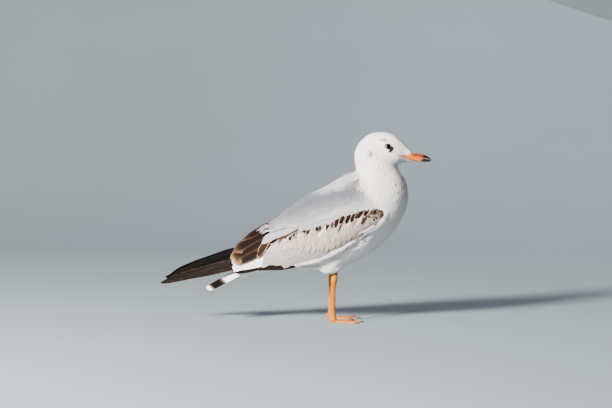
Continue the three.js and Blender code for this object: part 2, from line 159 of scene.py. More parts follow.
# ---------------------------------------------------------------- surfaces
def along(table, place):
    """Rows of a table read smoothly at places among them, and straight on past its ends."""
    place = np.asarray(place, float)
    last = len(table) - 1
    kept = np.clip(place, 0, last)
    i = np.minimum(kept.astype(int), last - 1)
    t = (kept - i)[..., None]
    a, b, c, d = (table[np.clip(i + k, 0, last)] for k in (-1, 0, 1, 2))
    inside = 0.5 * (2 * b + (c - a) * t + (2 * a - 5 * b + 4 * c - d) * t ** 2
                    + (3 * b - a - 3 * c + d) * t ** 3)
    return inside + (place - kept)[..., None] * (c - b)


def fields(table, place):
    return np.moveaxis(along(table, place), -1, 0)


def unit(v):
    return v / np.maximum(np.linalg.norm(v, axis=-1, keepdims=True), 1e-9)


def rounded(value):
    return np.sign(value) * np.abs(value) ** (2 / FULLNESS)


def body_surface(place, angle):
    """The outside of the coat: angle 0 is the middle of the back and pi that of the belly."""
    belly_x, belly_z, back_x, back_z, side, widest = fields(BODY, place)
    up = rounded(np.cos(angle))
    share = widest + np.where(up > 0, up * (1 - widest), up * widest)
    return np.stack([belly_x + (back_x - belly_x) * share, side * rounded(np.sin(angle)),
                     belly_z + (back_z - belly_z) * share], -1)


def blade(table, place, share):
    rows = along(table, place)
    top, foot, bulge = rows[..., 0:3], rows[..., 3:6], rows[..., 6]
    across = foot - top
    out = unit(np.stack([0 * bulge, across[..., 2], -across[..., 1]], -1))
    hump = bulge * np.maximum(4 * share * (1 - share), 0)
    return top + across * share[..., None] + out * hump[..., None]


def arm_surface(place, share):
    return blade(ARM, place, share)


def tail_surface(place, share):
    """Share runs from the left edge to the right one."""
    x, ridge, side, hang, _ = fields(TAIL, place)
    return np.stack([x, side * (1 - 2 * share),
                     ridge - hang + hang * np.maximum(4 * share * (1 - share), 0)], -1)


def thigh_surface(place, angle):
    """The right thigh, from above down."""
    ahead, height, long, wide = fields(THIGH, place)
    return np.stack([LEG_X["right"] + ahead + long * np.cos(angle),
                     -STANCE + wide * np.sin(angle), height], -1)


def on_surface(surface, a, b, step=0.01):
    """Points, the two directions along the surface and the outward normals."""
    da = (surface(a + step, b) - surface(a - step, b)) / (2 * step)
    db = (surface(a, b + step) - surface(a, b - step)) / (2 * step)
    return surface(a, b), da, db, unit(np.cross(da, db))


def turns(count):
    """Angles once round, without the last."""
    return np.arange(count) / count * 2 * math.pi


def grid(a, b):
    return np.meshgrid(a, b, indexing="ij")


def places_per_mm(da, db, way):
    """How far both places on a surface move for each millimetre along a direction."""
    aa, ab, bb = (da * da).sum(-1), (da * db).sum(-1), (db * db).sum(-1)
    ra, rb = (da * way).sum(-1), (db * way).sum(-1)
    det = np.maximum(aa * bb - ab * ab, 1e-6)
    return np.stack([(bb * ra - ab * rb) / det, (aa * rb - ab * ra) / det], -1)


def coat_at(place, angle):
    """Gap, length, half width and depth of the body's coat."""
    back = 0.5 + 0.5 * np.cos(angle)
    return [np.interp(place, BACK_COAT[:, 0], BACK_COAT[:, k]) * back
            + np.interp(place, BELLY_COAT[:, 0], BELLY_COAT[:, k]) * (1 - back)
            for k in (1, 2, 3, 4)]


THIGH_STRIP = 0.9  # the thighs' part of the unwrap lies past this
WHOLE_TURN, THIGH_TURN = 0.995, 0.48  # the unwrap's height for once round body and thigh


def unwrap(place, angle):
    """Where a point of the body lies on the flat unwrap of its skin."""
    turn = np.mod(angle, 2 * math.pi) / (2 * math.pi)
    return np.stack([(place + 0.8) / (BODY_END + 0.8) * (THIGH_STRIP - 0.02),
                     turn * WHOLE_TURN], -1)


def unwrap_thigh(place, angle, sign):
    turn = np.mod(angle, 2 * math.pi) / (2 * math.pi)
    return np.stack([THIGH_STRIP + place / 60, turn * THIGH_TURN + (0.5 if sign > 0 else 0)], -1)


# ---------------------------------------------------------------- markings
def smooth(value, low, high):
    t = np.clip((value - low) / (high - low), 0, 1)
    return t * t * (3 - 2 * t)


def spot(p, x, z, long, high, soft=0.6):
    """One on a spot on both sides of the head, and fading to nothing round it."""
    distance = np.hypot((p[..., 0] - x) / long, (p[..., 2] - z) / high)
    return (1 - smooth(distance, 1 - soft, 1 + soft)) * (np.abs(p[..., 1]) > 4)


def markings(p):
    """Grey of the mantle, whose depth carries painted light and shade, and brown marks of the
    head, on points of skin and coat alike.
    """
    x, y, z = p[..., 0], np.abs(p[..., 1]), p[..., 2]
    behind_collar = ((80 - x) * 34 + (178 - z) * 19.8) / 39.3
    above_flank = z - (96 + 0.28 * x) - 0.25 * y
    # Painted light and shade: the grey is made paler low on the mantle, which faces the light, and
    # deeper up on the back, which is turned from it. Near the ridge it pales again to the whitish
    # grey of the lower hindneck.
    deep = 0.54 + 0.46 * smooth(z - 0.35 * x, 106, 142)
    ridge = 174 + 0.385 * (x - 53)
    deep = deep * (1 - 0.45 * smooth(z - ridge, -12, -2) * smooth(x, 15, 45))
    grey = deep * smooth(behind_collar, -3, 9) * smooth(above_flank, -4, 10) * smooth(x, -48, -30)
    mark = spot(p, 116.4, 211.2, 3.1, 3.0, 0.3)
    mark = np.maximum(mark, spot(p, 114.9, 208.3, 2.4, 1.8, 0.4))
    mark = np.maximum(mark, 0.5 * spot(p, 108.6, 221.6, 2.4, 2.2, 0.5))
    mark = np.maximum(mark, 0.3 * spot(p, 104.5, 222.5, 2.6, 1.7, 0.6))
    mark = np.maximum(mark, 0.5 * spot(p, 90.4, 205.8, 3.1, 3.8, 0.6))
    return {"grey": grey, "mark": mark}


# ---------------------------------------------------------------- meshes from arrays
def stitched(parts):
    """Several lots of points, faces, maps and marks as one."""
    keys = ("points", "quads", "vane", "bake", "facing")
    base, whole = 0, {key: [] for key in keys} | {"marks": {}}
    for part in parts:
        for key in keys:
            whole[key].append(part[key] + (base if key == "quads" else 0))
        for name, values in part["marks"].items():
            whole["marks"].setdefault(name, []).append(values)
        base += len(part["points"])
    for key in keys:
        whole[key] = np.concatenate(whole[key])
    whole["marks"] = {name: np.concatenate(values) for name, values in whole["marks"].items()}
    return whole


def mirrored(part):
    """The same vanes on the other side of the bird."""
    copy = dict(part)
    copy["points"] = part["points"] * (1, -1, 1)
    for key in ("quads", "vane", "bake", "facing"):
        copy[key] = part[key][:, ::-1].copy()
    copy["facing"] = copy["facing"] * (1, -1, 1)
    return copy


def new_object(name, data):
    obj = bpy.data.objects.new(name, data)
    bpy.context.scene.collection.objects.link(obj)
    return obj


def add_marks(mesh, marks):
    """Values at the vertices, which the materials read by name."""
    for name, values in marks.items():
        mesh.attributes.new(name, "FLOAT", "POINT").data.foreach_set(
            "value", values.astype(np.float32))


def made_plain(obj):
    """Turn an object's modifiers into its own mesh, and give that mesh and its vertices."""
    mesh = bpy.data.meshes.new_from_object(
        obj.evaluated_get(bpy.context.evaluated_depsgraph_get()))
    obj.modifiers.clear()
    obj.data = mesh
    spots = np.empty(len(mesh.vertices) * 3, np.float32)
    mesh.vertices.foreach_get("co", spots)
    return mesh, spots.reshape(-1, 3)


def finish_piece(obj, material, slot, *nodes):
    obj.data.materials.clear()
    obj.data.materials.append(material)
    obj.data.polygons.foreach_set("use_smooth", np.ones(len(obj.data.polygons), bool))
    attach(obj, "root")
    if nodes:
        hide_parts(*nodes)
    return obj


PATCH = 0.003  # a small vane's share of the OFBake map, each way
THINNEST_VANE = 0.02


def vane_piece(name, part, material, slot, *nodes):
    """One object of many vanes, with its two maps and its marks."""
    mesh = bpy.data.meshes.new(name)
    points, quads = part["points"] * MM, part["quads"]
    mesh.vertices.add(len(points))
    mesh.vertices.foreach_set("co", points.astype(np.float32).ravel())
    mesh.loops.add(quads.size)
    mesh.loops.foreach_set("vertex_index", quads.astype(np.int32).ravel())
    mesh.polygons.add(len(quads))
    mesh.polygons.foreach_set("loop_start", np.arange(0, quads.size, 4, dtype=np.int32))
    mesh.polygons.foreach_set("loop_total", np.full(len(quads), 4, np.int32))
    for layer, values in (("OFBake", part["bake"]), ("vane", part["vane"])):
        mesh.uv_layers.new(name=layer).data.foreach_set(
            "uv", values.astype(np.float32).ravel())
    add_marks(mesh, part["marks"])
    mesh.update(calc_edges=True)
    mesh.polygons.foreach_set("use_smooth", np.ones(len(quads), bool))
    mesh.normals_split_custom_set(part["facing"].reshape(-1, 3))
    return finish_piece(new_object(name, mesh), material, slot, *nodes)


def both_sides(part, name, material, slot, *nodes):
    """The same vanes as a piece on each side, whose name has its side in the braces."""
    for side, there in (("right", part), ("left", mirrored(part))):
        vane_piece(name.format(side), there, material, slot, *(n.format(side) for n in nodes))


def vanes(surface, root, tip, half_width, rows, columns, outline, sink, lift, thick, rng, *,
          bake, marks, round_tip, ragged, bake_size=(PATCH, PATCH), camber=0.15, bow=0.0,
          ease=1.0, soften=0.0, drape=None):
    """Thin closed vanes laid on a surface, from root to tip, both [place, other] of each.

    outline gives the half width's shares from root to tip. sink and lift are the heights of
    root and tip over the surface, and ease above 1 brings the vane sooner to its tip's height.
    camber lowers the edges, bow bends the vane sideways and ragged nicks the tips. soften turns
    the shading's normals towards the surface's own, so that loose barbs blend as they do on a
    bird. drape gives the heights of what the vane has to clear. bake is where each vane's patch
    lies on the OFBake map. marks are values for each vane, or for each of its points.
    """
    root, tip = np.atleast_2d(root), np.atleast_2d(tip)
    count = len(root)
    u = np.linspace(0, 1, rows + 1)
    v = np.linspace(-1, 1, columns)
    step = tip - root
    middle = root[:, None] + step[:, None] * u[None, :, None]
    _, da, db, normal = on_surface(surface, middle[..., 0], middle[..., 1])
    run = unit(da * step[:, None, 0:1] + db * step[:, None, 1:2])
    per_mm = places_per_mm(da, db, unit(np.cross(normal, run)))
    shares = np.interp(u, np.linspace(0, 1, len(outline)), outline)
    half = np.asarray(half_width).reshape(-1, 1) * shares[None]
    sway = np.asarray(bow).reshape(-1, 1) * (4 * u * (1 - u))[None]
    sideways = half[:, :, None] * v[None, None] + sway[:, :, None]
    back = round_tip * (v ** 2)[None, None] * (u ** 3)[None, :, None]
    nick = rng.normal(0, ragged, (count, rows + 1, columns)) * (u ** 2)[None, :, None]
    pulled = np.repeat(back, count, 0) + np.maximum(nick, -0.5 * ragged)
    place = (middle[:, :, None] + per_mm[:, :, None] * sideways[..., None]
             - step[:, None, None] * pulled[..., None])
    base, _, _, below = on_surface(surface, place[..., 0], place[..., 1])
    sink, lift = (np.broadcast_to(np.asarray(height, float).reshape(-1, 1), (count, 1))
                  for height in (sink, lift))
    height = lift + (sink - lift) * ((1 - u) ** ease)[None]
    height = height[:, :, None] - camber * (v ** 2)[None, None] * u[None, :, None]
    if drape is not None:
        height = height + drape(base, normal)
    top = base + normal[:, :, None] * height[..., None]
    depth = thick * (1 - v ** 2)[None, None] * np.sin(np.pi * np.clip(u, 0.1, 0.9))[None, :, None]
    low = top - normal[:, :, None] * np.maximum(depth, THINNEST_VANE)[..., None]
    low = low[:, 1:-1, 1:-1]
    facing = unit(np.cross(np.gradient(top, axis=1), np.gradient(top, axis=2)))
    facing = facing * np.sign((facing * normal[:, :, None]).sum(-1, keepdims=True))
    facing = unit(facing * (1 - soften) + below * soften)

    per_top, per_low = (rows + 1) * columns, (rows - 1) * (columns - 2)
    upper = np.arange(per_top).reshape(rows + 1, columns)
    under = upper.copy()
    under[1:-1, 1:-1] = per_top + np.arange(per_low).reshape(rows - 1, columns - 2)
    r, c = grid(np.arange(rows), np.arange(columns - 1))
    r, c = r.ravel(), c.ravel()
    corners = [(r, c), (r + 1, c), (r + 1, c + 1), (r, c + 1)]
    face_top = np.stack([upper[at] for at in corners], 1)
    face_low = np.stack([under[at] for at in corners[::-1]], 1)
    one = np.concatenate([face_top, face_low])
    start = np.arange(count) * (per_top + per_low)
    quads = (one[None] + start[:, None, None]).reshape(-1, 4)
    flat = [np.stack([(v[cc] + 1) / 2, u[rr]], -1) for rr, cc in corners]
    on_top, on_low = np.stack(flat, 1), np.stack(flat[::-1], 1)
    vane = np.tile(np.concatenate([on_top, on_low]), (count, 1, 1))
    # The upper and the under side share the patch, side by side.
    patch = np.concatenate([on_top * (0.47, 1), on_low * (0.47, 1) + (0.53, 0)])
    patch = patch * np.array(bake_size)
    bake = (np.asarray(bake)[:, None, None] + patch[None]).reshape(-1, 4, 2)
    points = np.concatenate([top.reshape(count, -1, 3), low.reshape(count, -1, 3)], 1)
    out = {}
    for name, values in marks.items():
        values = np.asarray(values, float)
        if values.ndim == 1:
            out[name] = np.repeat(values, per_top + per_low)
        else:
            inner = values[:, 1:-1, 1:-1].reshape(count, -1)
            out[name] = np.concatenate([values.reshape(count, -1), inner], 1).ravel()
    corners_top = facing.reshape(count, -1, 3)[:, face_top]
    corners_low = -facing.reshape(count, -1, 3)[:, face_top[:, ::-1]]
    facing = np.concatenate([corners_top, corners_low], 1).reshape(-1, 4, 3)
    return {"points": points.reshape(-1, 3), "quads": quads, "vane": vane, "bake": bake,
            "facing": facing, "marks": out}


def loft_mesh(rings):
    """Points and faces of a closed skin through rings of equal size."""
    rings = np.asarray(rings, float)
    count, around = rings.shape[:2]
    points = [*rings.reshape(-1, 3), rings[0].mean(0), rings[-1].mean(0)]
    faces = [(i * around + k, i * around + (k + 1) % around,
              (i + 1) * around + (k + 1) % around, (i + 1) * around + k)
             for i in range(count - 1) for k in range(around)]
    last, pole = (count - 1) * around, count * around
    for k in range(around):
        n = (k + 1) % around
        faces += [(pole, n, k), (pole + 1, last + k, last + n)]
    return np.array(points), faces


def solid_object(name, lofts):
    """One object from closed lofts, in millimetres, with its faces turned to point out."""
    points, faces = [], []
    for p, f in lofts:
        base = len(points)
        points += [tuple(q * MM) for q in p]
        faces += [tuple(i + base for i in face) for face in f]
    mesh = bpy.data.meshes.new(name)
    mesh.from_pydata(points, [], faces)
    work = bmesh.new()
    work.from_mesh(mesh)
    bmesh.ops.recalc_face_normals(work, faces=work.faces)
    work.to_mesh(mesh)
    work.free()
    return new_object(name, mesh)


# ---------------------------------------------------------------- colours and nodes
def color(text):
    """Linear RGBA of an sRGB hex value."""
    values = [int(text[i:i + 2], 16) / 255 for i in (1, 3, 5)]
    return [v / 12.92 if v <= 0.04045 else ((v + 0.055) / 1.055) ** 2.4 for v in values] + [1]


def new_material(name, roughness, **sockets):
    material = bpy.data.materials.new(name)
    material.use_nodes = True
    tree = material.node_tree
    shader = tree.nodes["Principled BSDF"]
    shader.inputs["Roughness"].default_value = roughness
    for socket, value in sockets.items():
        shader.inputs[socket.replace("_", " ")].default_value = value
    return material, tree, shader


def node(tree, kind, *values, out=None, **settings):
    """Add a shader node: its settings, then for each input a value or a socket to link from."""
    made = tree.nodes.new("ShaderNode" + kind)
    for name, value in settings.items():
        setattr(made, name, value)
    for value, socket in zip(values, [i for i in made.inputs if i.enabled]):
        if isinstance(value, bpy.types.NodeSocket):
            tree.links.new(value, socket)
        elif value is not None:
            socket.default_value = value
    results = [o for o in made.outputs if o.enabled]
    return next(o for o in results if o.name == out) if out else results[0]


def browned(tree, mark, tint, pale, deep):
    """A tint that pigment first warms and then darkens."""
    tint = node(tree, "Mix", node(tree, "MapRange", mark, 0, 0.5, 0, 0.8), tint, color(pale),
                data_type="RGBA")
    return node(tree, "Mix", node(tree, "MapRange", mark, 0.5, 1), tint, color(deep),
                data_type="RGBA")


def plumage(name, web, grey, mark, fringe, centre, halo, centre_span, fringe_span, tip_span,
            barb_gap=0.09, roughness=0.8, streak=0.06, relief=0.2, glow=0.0, sheen=0.2, gloss=0.15,
            warm=None):
    """A vane of barbs either side of a shaft, matt and soft, with its centre and fringe.

    halo is the colour that the dark centre wears through where it ends, and warm the one that
    marks pass through before they darken. centre_span and fringe_span say from where to where
    their edges fade, in half widths from the rim, and tip_span does for both near the tip, in
    lengths of the vane. barb_gap is in lengths of the vane too.
    """
    material, tree, shader = new_material(name, roughness, Specular_IOR_Level=gloss,
                                          Sheen_Weight=sheen, Sheen_Roughness=0.5,
                                          Subsurface_Weight=glow, Subsurface_Scale=0.003,
                                          Subsurface_Radius=(1, 0.85, 0.75))
    vane = node(tree, "UVMap", uv_map="vane")
    u, v = (node(tree, "SeparateXYZ", vane, out=axis) for axis in "XY")
    marks = {key: node(tree, "Attribute", attribute_name=key, out="Fac")
             for key in ("grey", "mark", "fringe", "centre", "tone")}
    place = node(tree, "TexCoord", out="Object")
    cloud = node(tree, "TexNoise", place, 420, 3)
    off = node(tree, "Math", node(tree, "Math", u, 2, -1, operation="MULTIPLY_ADD"),
               operation="ABSOLUTE")
    wander = node(tree, "Math", cloud, 0.5, -0.25, operation="MULTIPLY_ADD")
    edge = node(tree, "Math", node(tree, "Math", 1, off, operation="SUBTRACT"), wander)
    tip = node(tree, "Math", wander, 0.3, node(tree, "Math", 1, v, operation="SUBTRACT"),
               operation="MULTIPLY_ADD")
    smoothstep = {"interpolation_type": "SMOOTHSTEP"}
    past_tip = node(tree, "MapRange", tip, *tip_span, **smoothstep)
    inside = node(tree, "Math", node(tree, "MapRange", edge, *centre_span, **smoothstep),
                  past_tip, operation="MULTIPLY")
    within = node(tree, "Math", node(tree, "MapRange", edge, *fringe_span, **smoothstep),
                  past_tip, operation="MULTIPLY")
    rim = node(tree, "Math", 1, within, operation="SUBTRACT")
    tint = node(tree, "Mix", marks["grey"], color(web), color(grey), data_type="RGBA")
    wear_and_highlight = node(tree, "Math", inside, 0.45, operation="POWER")
    for share, mask, shade in ((marks["fringe"], rim, fringe), (marks["centre"], wear_and_highlight, halo),
                               (marks["centre"], inside, centre)):
        tint = node(tree, "Mix", node(tree, "Math", share, mask, operation="MULTIPLY"), tint,
                    color(shade), data_type="RGBA")
    tint = browned(tree, marks["mark"], tint, warm or mark, mark)
    # Barbs leave the shaft at a slant. They are drawn coarser than real ones, so that they show.
    slant = node(tree, "Math", off, -0.35, v, operation="MULTIPLY_ADD")
    barbs = node(tree, "Math", node(tree, "Math", slant, 2 * math.pi / barb_gap,
                                    operation="MULTIPLY"), operation="SINE")
    strand = node(tree, "TexNoise", node(
        tree, "CombineXYZ", node(tree, "Math", off, 2, operation="MULTIPLY"),
        node(tree, "Math", slant, 26, operation="MULTIPLY"), marks["tone"]), 1, 2)
    tone = node(tree, "Math", strand, streak * 2, 1 - streak, operation="MULTIPLY_ADD")
    tone = node(tree, "Math", marks["tone"], streak * 0.6, tone, operation="MULTIPLY_ADD")
    shaft = node(tree, "MapRange", off, 0, 0.07, 1 - streak, 1, **smoothstep)
    tone = node(tree, "Math", tone, shaft, operation="MULTIPLY")
    tint = node(tree, "Mix", 1, tint, node(tree, "CombineXYZ", tone, tone, tone),
                data_type="RGBA", blend_type="MULTIPLY")
    tree.links.new(tint, shader.inputs["Base Color"])
    height = node(tree, "Math", barbs, 0.3, strand, operation="MULTIPLY_ADD")
    bump = node(tree, "Bump", relief, 0.0003)
    tree.links.new(height, bump.node.inputs["Height"])
    tree.links.new(bump, shader.inputs["Normal"])
    return material


def underdown(name, web, grey, mark):
    """Skin and down under the vanes: matt, clouded, in the same markings."""
    material, tree, shader = new_material(name, 0.95, Specular_IOR_Level=0.15)
    cloud = node(tree, "TexNoise", node(tree, "TexCoord", out="Object"), 600, 4)
    tint = node(tree, "Mix", node(tree, "Attribute", attribute_name="grey", out="Fac"),
                color(web), color(grey), data_type="RGBA")
    tint = browned(tree, node(tree, "Attribute", attribute_name="mark", out="Fac"), tint,
                   "#8A6250", mark)
    tint = node(tree, "Mix", node(tree, "MapRange", cloud, 0.3, 0.8, 0, 0.15), tint,
                color("#B9B4AE"), data_type="RGBA")
    tree.links.new(tint, shader.inputs["Base Color"])
    return material


# Keratin vanes grown white or pale grey: matt, faintly silky, lit through from beyond.
WHITE_VANES = plumage("white_contour_vanes", "#FBFAF8", "#63646E", "#22120A", "#FFFFFF", "#63646E",
                      "#63646E", (0.2, 0.5), (0.1, 0.3), (0.1, 0.3), streak=0.03, relief=0.12,
                      glow=0.25, warm="#8A6250")
# Wing coverts: pale grey web, worn brown centre, buff fringe.
COVERT_VANES = plumage("covert_vanes", "#CFC6BD", "#8F8F93", "#3A281B", "#B98B5A", "#170C06",
                       "#6A4426", (0.02, 0.42), (0.0, 0.3), (0.02, 0.15), streak=0.08, sheen=0.0,
                       gloss=0.08)
# Tertials: dark brown to near the edge, then a buff fringe fading to white.
TERTIAL_VANES = plumage("tertial_vanes", "#382B21", "#F6F5F3", "#17100C", "#8F7052", "#120B07",
                        "#30231A", (-0.1, 0.5), (-0.35, 0.0), (0.0, 0.3), streak=0.3,
                        sheen=0.0, gloss=0.05)
# Flight feathers: blackish brown, glossier, with narrow pale edges.
PRIMARY_VANES = plumage("flight_vanes", "#1E1713", "#050403", "#0B0908", "#5E4A3C", "#14100D",
                        "#1C1512", (0.1, 0.35), (0.0, 0.1), (0.004, 0.02), roughness=0.75,
                        streak=0.16, sheen=0.0, gloss=0.05)
# Tail feathers: white with a blackish band before the white tip.
TAIL_VANES = plumage("tail_vanes", "#FAF9F6", "#D8D8D8", "#0D0806", "#C9885E", "#F4F3F0",
                     "#F4F3F0", (0.1, 0.35), (0.04, 0.2), (0.015, 0.06), streak=0.05, sheen=0.0,
                     gloss=0.1, warm="#5C3C2A")
DOWN = underdown("down_over_skin", "#F4F2EF", "#63646E", "#22120A")


def bill_horn():
    """Living horn: satin orange flesh, redder over the ridge, blackish from the tip, with a
    painted highlight along the tip and painted shade in the nostril.
    """
    material, tree, shader = new_material("bill_horn_satin", 0.36, Coat_Weight=0.15,
                                          Coat_Roughness=0.25, Subsurface_Weight=0.08,
                                          Subsurface_Scale=0.002)
    place = node(tree, "TexCoord", out="Object")
    x, z = (node(tree, "SeparateXYZ", place, out=axis) for axis in "XZ")
    streaks = node(tree, "TexNoise", node(tree, "Mapping", place, (0, 0, 0), (0, 0, 0),
                                          (160, 900, 900)), 1, 4)
    near = node(tree, "Math", node(tree, "Math", x, 0.127, operation="SUBTRACT"), -0.18, 0.203,
                operation="MULTIPLY_ADD")
    far = node(tree, "Math", node(tree, "Math", x, 0.1548, operation="SUBTRACT"), -0.24, 0.1986,
               operation="MULTIPLY_ADD")
    line = node(tree, "Math", near, far, operation="MINIMUM")
    over_line = node(tree, "Math", z, line, operation="SUBTRACT")
    ridge = node(tree, "Math", node(tree, "MapRange", over_line, 0.0004, 0.0026),
                 node(tree, "MapRange", x, 0.138, 0.143), operation="MULTIPLY")
    tint = node(tree, "Mix", ridge, color("#E8741C"), color("#6C220C"), data_type="RGBA")
    tint = node(tree, "Mix", node(tree, "MapRange", streaks, 0.35, 0.75, 0, 0.2), tint,
                color("#DC9860"), data_type="RGBA")
    off_line = node(tree, "Math", over_line, operation="ABSOLUTE")
    seam = node(tree, "MapRange", off_line, 0.0001, 0.0005, 0.6, 0)
    tint = node(tree, "Mix", seam, tint, color("#6E2410"), data_type="RGBA")
    lean = node(tree, "Math", node(tree, "Math", z, 0.2, operation="SUBTRACT"), -0.45, x,
                operation="MULTIPLY_ADD")
    edge = node(tree, "Math", streaks, 0.003, lean, operation="MULTIPLY_ADD")
    tint = node(tree, "Mix", node(tree, "MapRange", edge, 0.1535, 0.1575), tint,
                color("#14100E"), data_type="RGBA")
    # A painted highlight: a pale greyish streak along the black tip's upper side, standing for
    # light glinting there.
    wear_and_highlight = node(tree, "MapRange", node(tree, "Math", node(
        tree, "Math", over_line, 0.0012, operation="SUBTRACT"), operation="ABSOLUTE"),
        0.0002, 0.0009, 0.38, 0)
    wear_and_highlight = node(tree, "Math", wear_and_highlight, node(tree, "MapRange", x, 0.151, 0.156),
                operation="MULTIPLY")
    tint = node(tree, "Mix", wear_and_highlight, tint, color("#A08F88"), data_type="RGBA")
    # Painted shade: the nostril's slit is painted dark, standing for the shade inside its opening.
    reach = [node(tree, "Math", node(tree, "Math", node(tree, "Math", axis, at * MM,
                                                        operation="SUBTRACT"), size,
                                     operation="DIVIDE"), 2, operation="POWER")
             for axis, at, size in ((x, NOSTRIL[0], 0.0024), (z, NOSTRIL[1], 0.0006))]
    pit = node(tree, "Math", *reach)
    tint = node(tree, "Mix", node(tree, "MapRange", pit, 0.5, 1.2, 0.85, 0), tint,
                color("#3A1C12"), data_type="RGBA")
    tree.links.new(tint, shader.inputs["Base Color"])
    bump = node(tree, "Bump", 0.25, 0.0002)
    tree.links.new(streaks, bump.node.inputs["Height"])
    tree.links.new(bump, shader.inputs["Normal"])
    return material


def scaly_skin(name, pale, deep):
    """Horny leg skin: orange scutes with darker seams, slightly waxy."""
    material, tree, shader = new_material(name, 0.5, Subsurface_Weight=0.1,
                                          Subsurface_Scale=0.0015, Specular_IOR_Level=0.3)
    place = node(tree, "TexCoord", out="Object")
    cells = node(tree, "TexVoronoi", place, 900, feature="DISTANCE_TO_EDGE")
    cloud = node(tree, "TexNoise", place, 160, 3)
    tint = node(tree, "Mix", node(tree, "MapRange", cloud, 0.35, 0.65), color(pale), color(deep),
                data_type="RGBA")
    tint = node(tree, "Mix", node(tree, "MapRange", cells, 0, 0.12, 0.35, 0), tint,
                color("#9C5A18"), data_type="RGBA")
    height = node(tree, "SeparateXYZ", place, out="Z")
    tint = node(tree, "Mix", node(tree, "MapRange", height, 0.002, 0.012, 0.6, 0), tint,
                color("#B4601E"), data_type="RGBA")
    tree.links.new(tint, shader.inputs["Base Color"])
    bump = node(tree, "Bump", 0.35, 0.0002)
    tree.links.new(node(tree, "MapRange", cells, 0, 0.15), bump.node.inputs["Height"])
    tree.links.new(bump, shader.inputs["Normal"])
    return material


def plain_horn(name, base, wear_and_highlight, roughness):
    """Claw horn or lid skin: dark, satin, a little clouded."""
    material, tree, shader = new_material(name, roughness)
    cloud = node(tree, "TexNoise", node(tree, "TexCoord", out="Object"), 900, 3)
    tree.links.new(node(tree, "Mix", node(tree, "MapRange", cloud, 0.4, 0.75, 0, 0.5),
                        color(base), color(wear_and_highlight), data_type="RGBA"), shader.inputs["Base Color"])
    bump = node(tree, "Bump", 0.2, 0.0001)
    tree.links.new(cloud, bump.node.inputs["Height"])
    tree.links.new(bump, shader.inputs["Normal"])
    return material


def eye_gloss():
    """Wet cornea over a nearly black iris, which browns a little round the pupil."""
    material, tree, shader = new_material("wet_eye", 0.03)
    place = node(tree, "TexCoord", out="Object")
    x, z = (node(tree, "SeparateXYZ", place, out=axis) for axis in "XZ")
    off = [node(tree, "Math", node(tree, "Math", axis, at * MM, operation="SUBTRACT"), 2,
                operation="POWER") for axis, at in ((x, EYE[0]), (z, EYE[2]))]
    out = node(tree, "Math", node(tree, "Math", *off), operation="SQRT")
    grain = node(tree, "TexNoise", place, 1500, 2)
    ring = node(tree, "Math", node(tree, "MapRange", out, 0.0021, 0.0025),
                node(tree, "MapRange", grain, 0.3, 0.7, 0.3, 1), operation="MULTIPLY")
    tree.links.new(node(tree, "Mix", ring, color("#020202"), color("#0E0805"),
                        data_type="RGBA"), shader.inputs["Base Color"])
    return material


BILL_HORN = bill_horn()
LEG_SKIN = scaly_skin("scaly_leg_skin", "#BC7600", "#9C5200")
CLAW_HORN = plain_horn("claw_horn", "#17130F", "#4A3C31", 0.35)
LID_SKIN = plain_horn("bare_lid_skin", "#1D1512", "#33261F", 0.5)
WET_EYE = eye_gloss()


# ---------------------------------------------------------------- wing beds and the skin
def bed_rings(table, surface, sink, shrink):
    """A closed blade just under the feathers of a wing."""
    places = np.linspace(0.06, len(table) - 1.04, 6 * len(table))
    share = np.linspace(shrink, 1 - shrink, 15)
    rings = []
    for place in places:
        a, b = np.full_like(share, place), share
        point, _, _, normal = on_surface(surface, a, b)
        thick = along(table, place)[7] * np.sqrt(4 * share * (1 - share))
        outer = point - normal * sink
        inner = point - normal * np.maximum(thick, sink + 0.3)[:, None]
        rings.append(np.concatenate([outer, inner[::-1]]))
    return loft_mesh(rings)


ARM_SINK = 2.2
arm_bed = bed_rings(ARM, arm_surface, ARM_SINK, 0.03)


def grid_tree(surface, a_span, b_span, counts, sink=0.0):
    """Ray target of a surface and of its mirror image, sunk by a depth."""
    a, b = grid(np.linspace(*a_span, counts[0]), np.linspace(*b_span, counts[1]))
    point, _, _, normal = on_surface(surface, a, b)
    point = (point - normal * sink).reshape(-1, 3)
    i, j = grid(np.arange(counts[0] - 1), np.arange(counts[1] - 1))
    k = (i * counts[1] + j).ravel()
    faces = np.stack([k, k + counts[1], k + counts[1] + 1, k + 1], 1)
    left = point * (1, -1, 1)
    points = np.concatenate([point, left])
    faces = np.concatenate([faces, faces[:, ::-1] + len(point)])
    return BVHTree.FromPolygons([tuple(p) for p in points], [tuple(f) for f in faces.tolist()])


wing_faces = grid_tree(arm_surface, (0, 10.9), (0, 1), (110, 21))
thigh_faces = grid_tree(thigh_surface, (0, 4.6), (-math.pi, math.pi), (30, 41), 1.0)


def over_body(faces, points, normals, reach=16.0, below=7.0):
    """How far other faces stand over each point, and nan where it is clear."""
    flat, away = points.reshape(-1, 3), normals.reshape(-1, 3)
    found = np.full(len(flat), np.nan)
    for i, (p, n) in enumerate(zip(flat, away)):
        hit = faces.ray_cast(Vector(p + n * reach), Vector(-n), reach + below)
        if hit[0] is not None:
            found[i] = reach - hit[3]
    return found.reshape(points.shape[:-1])


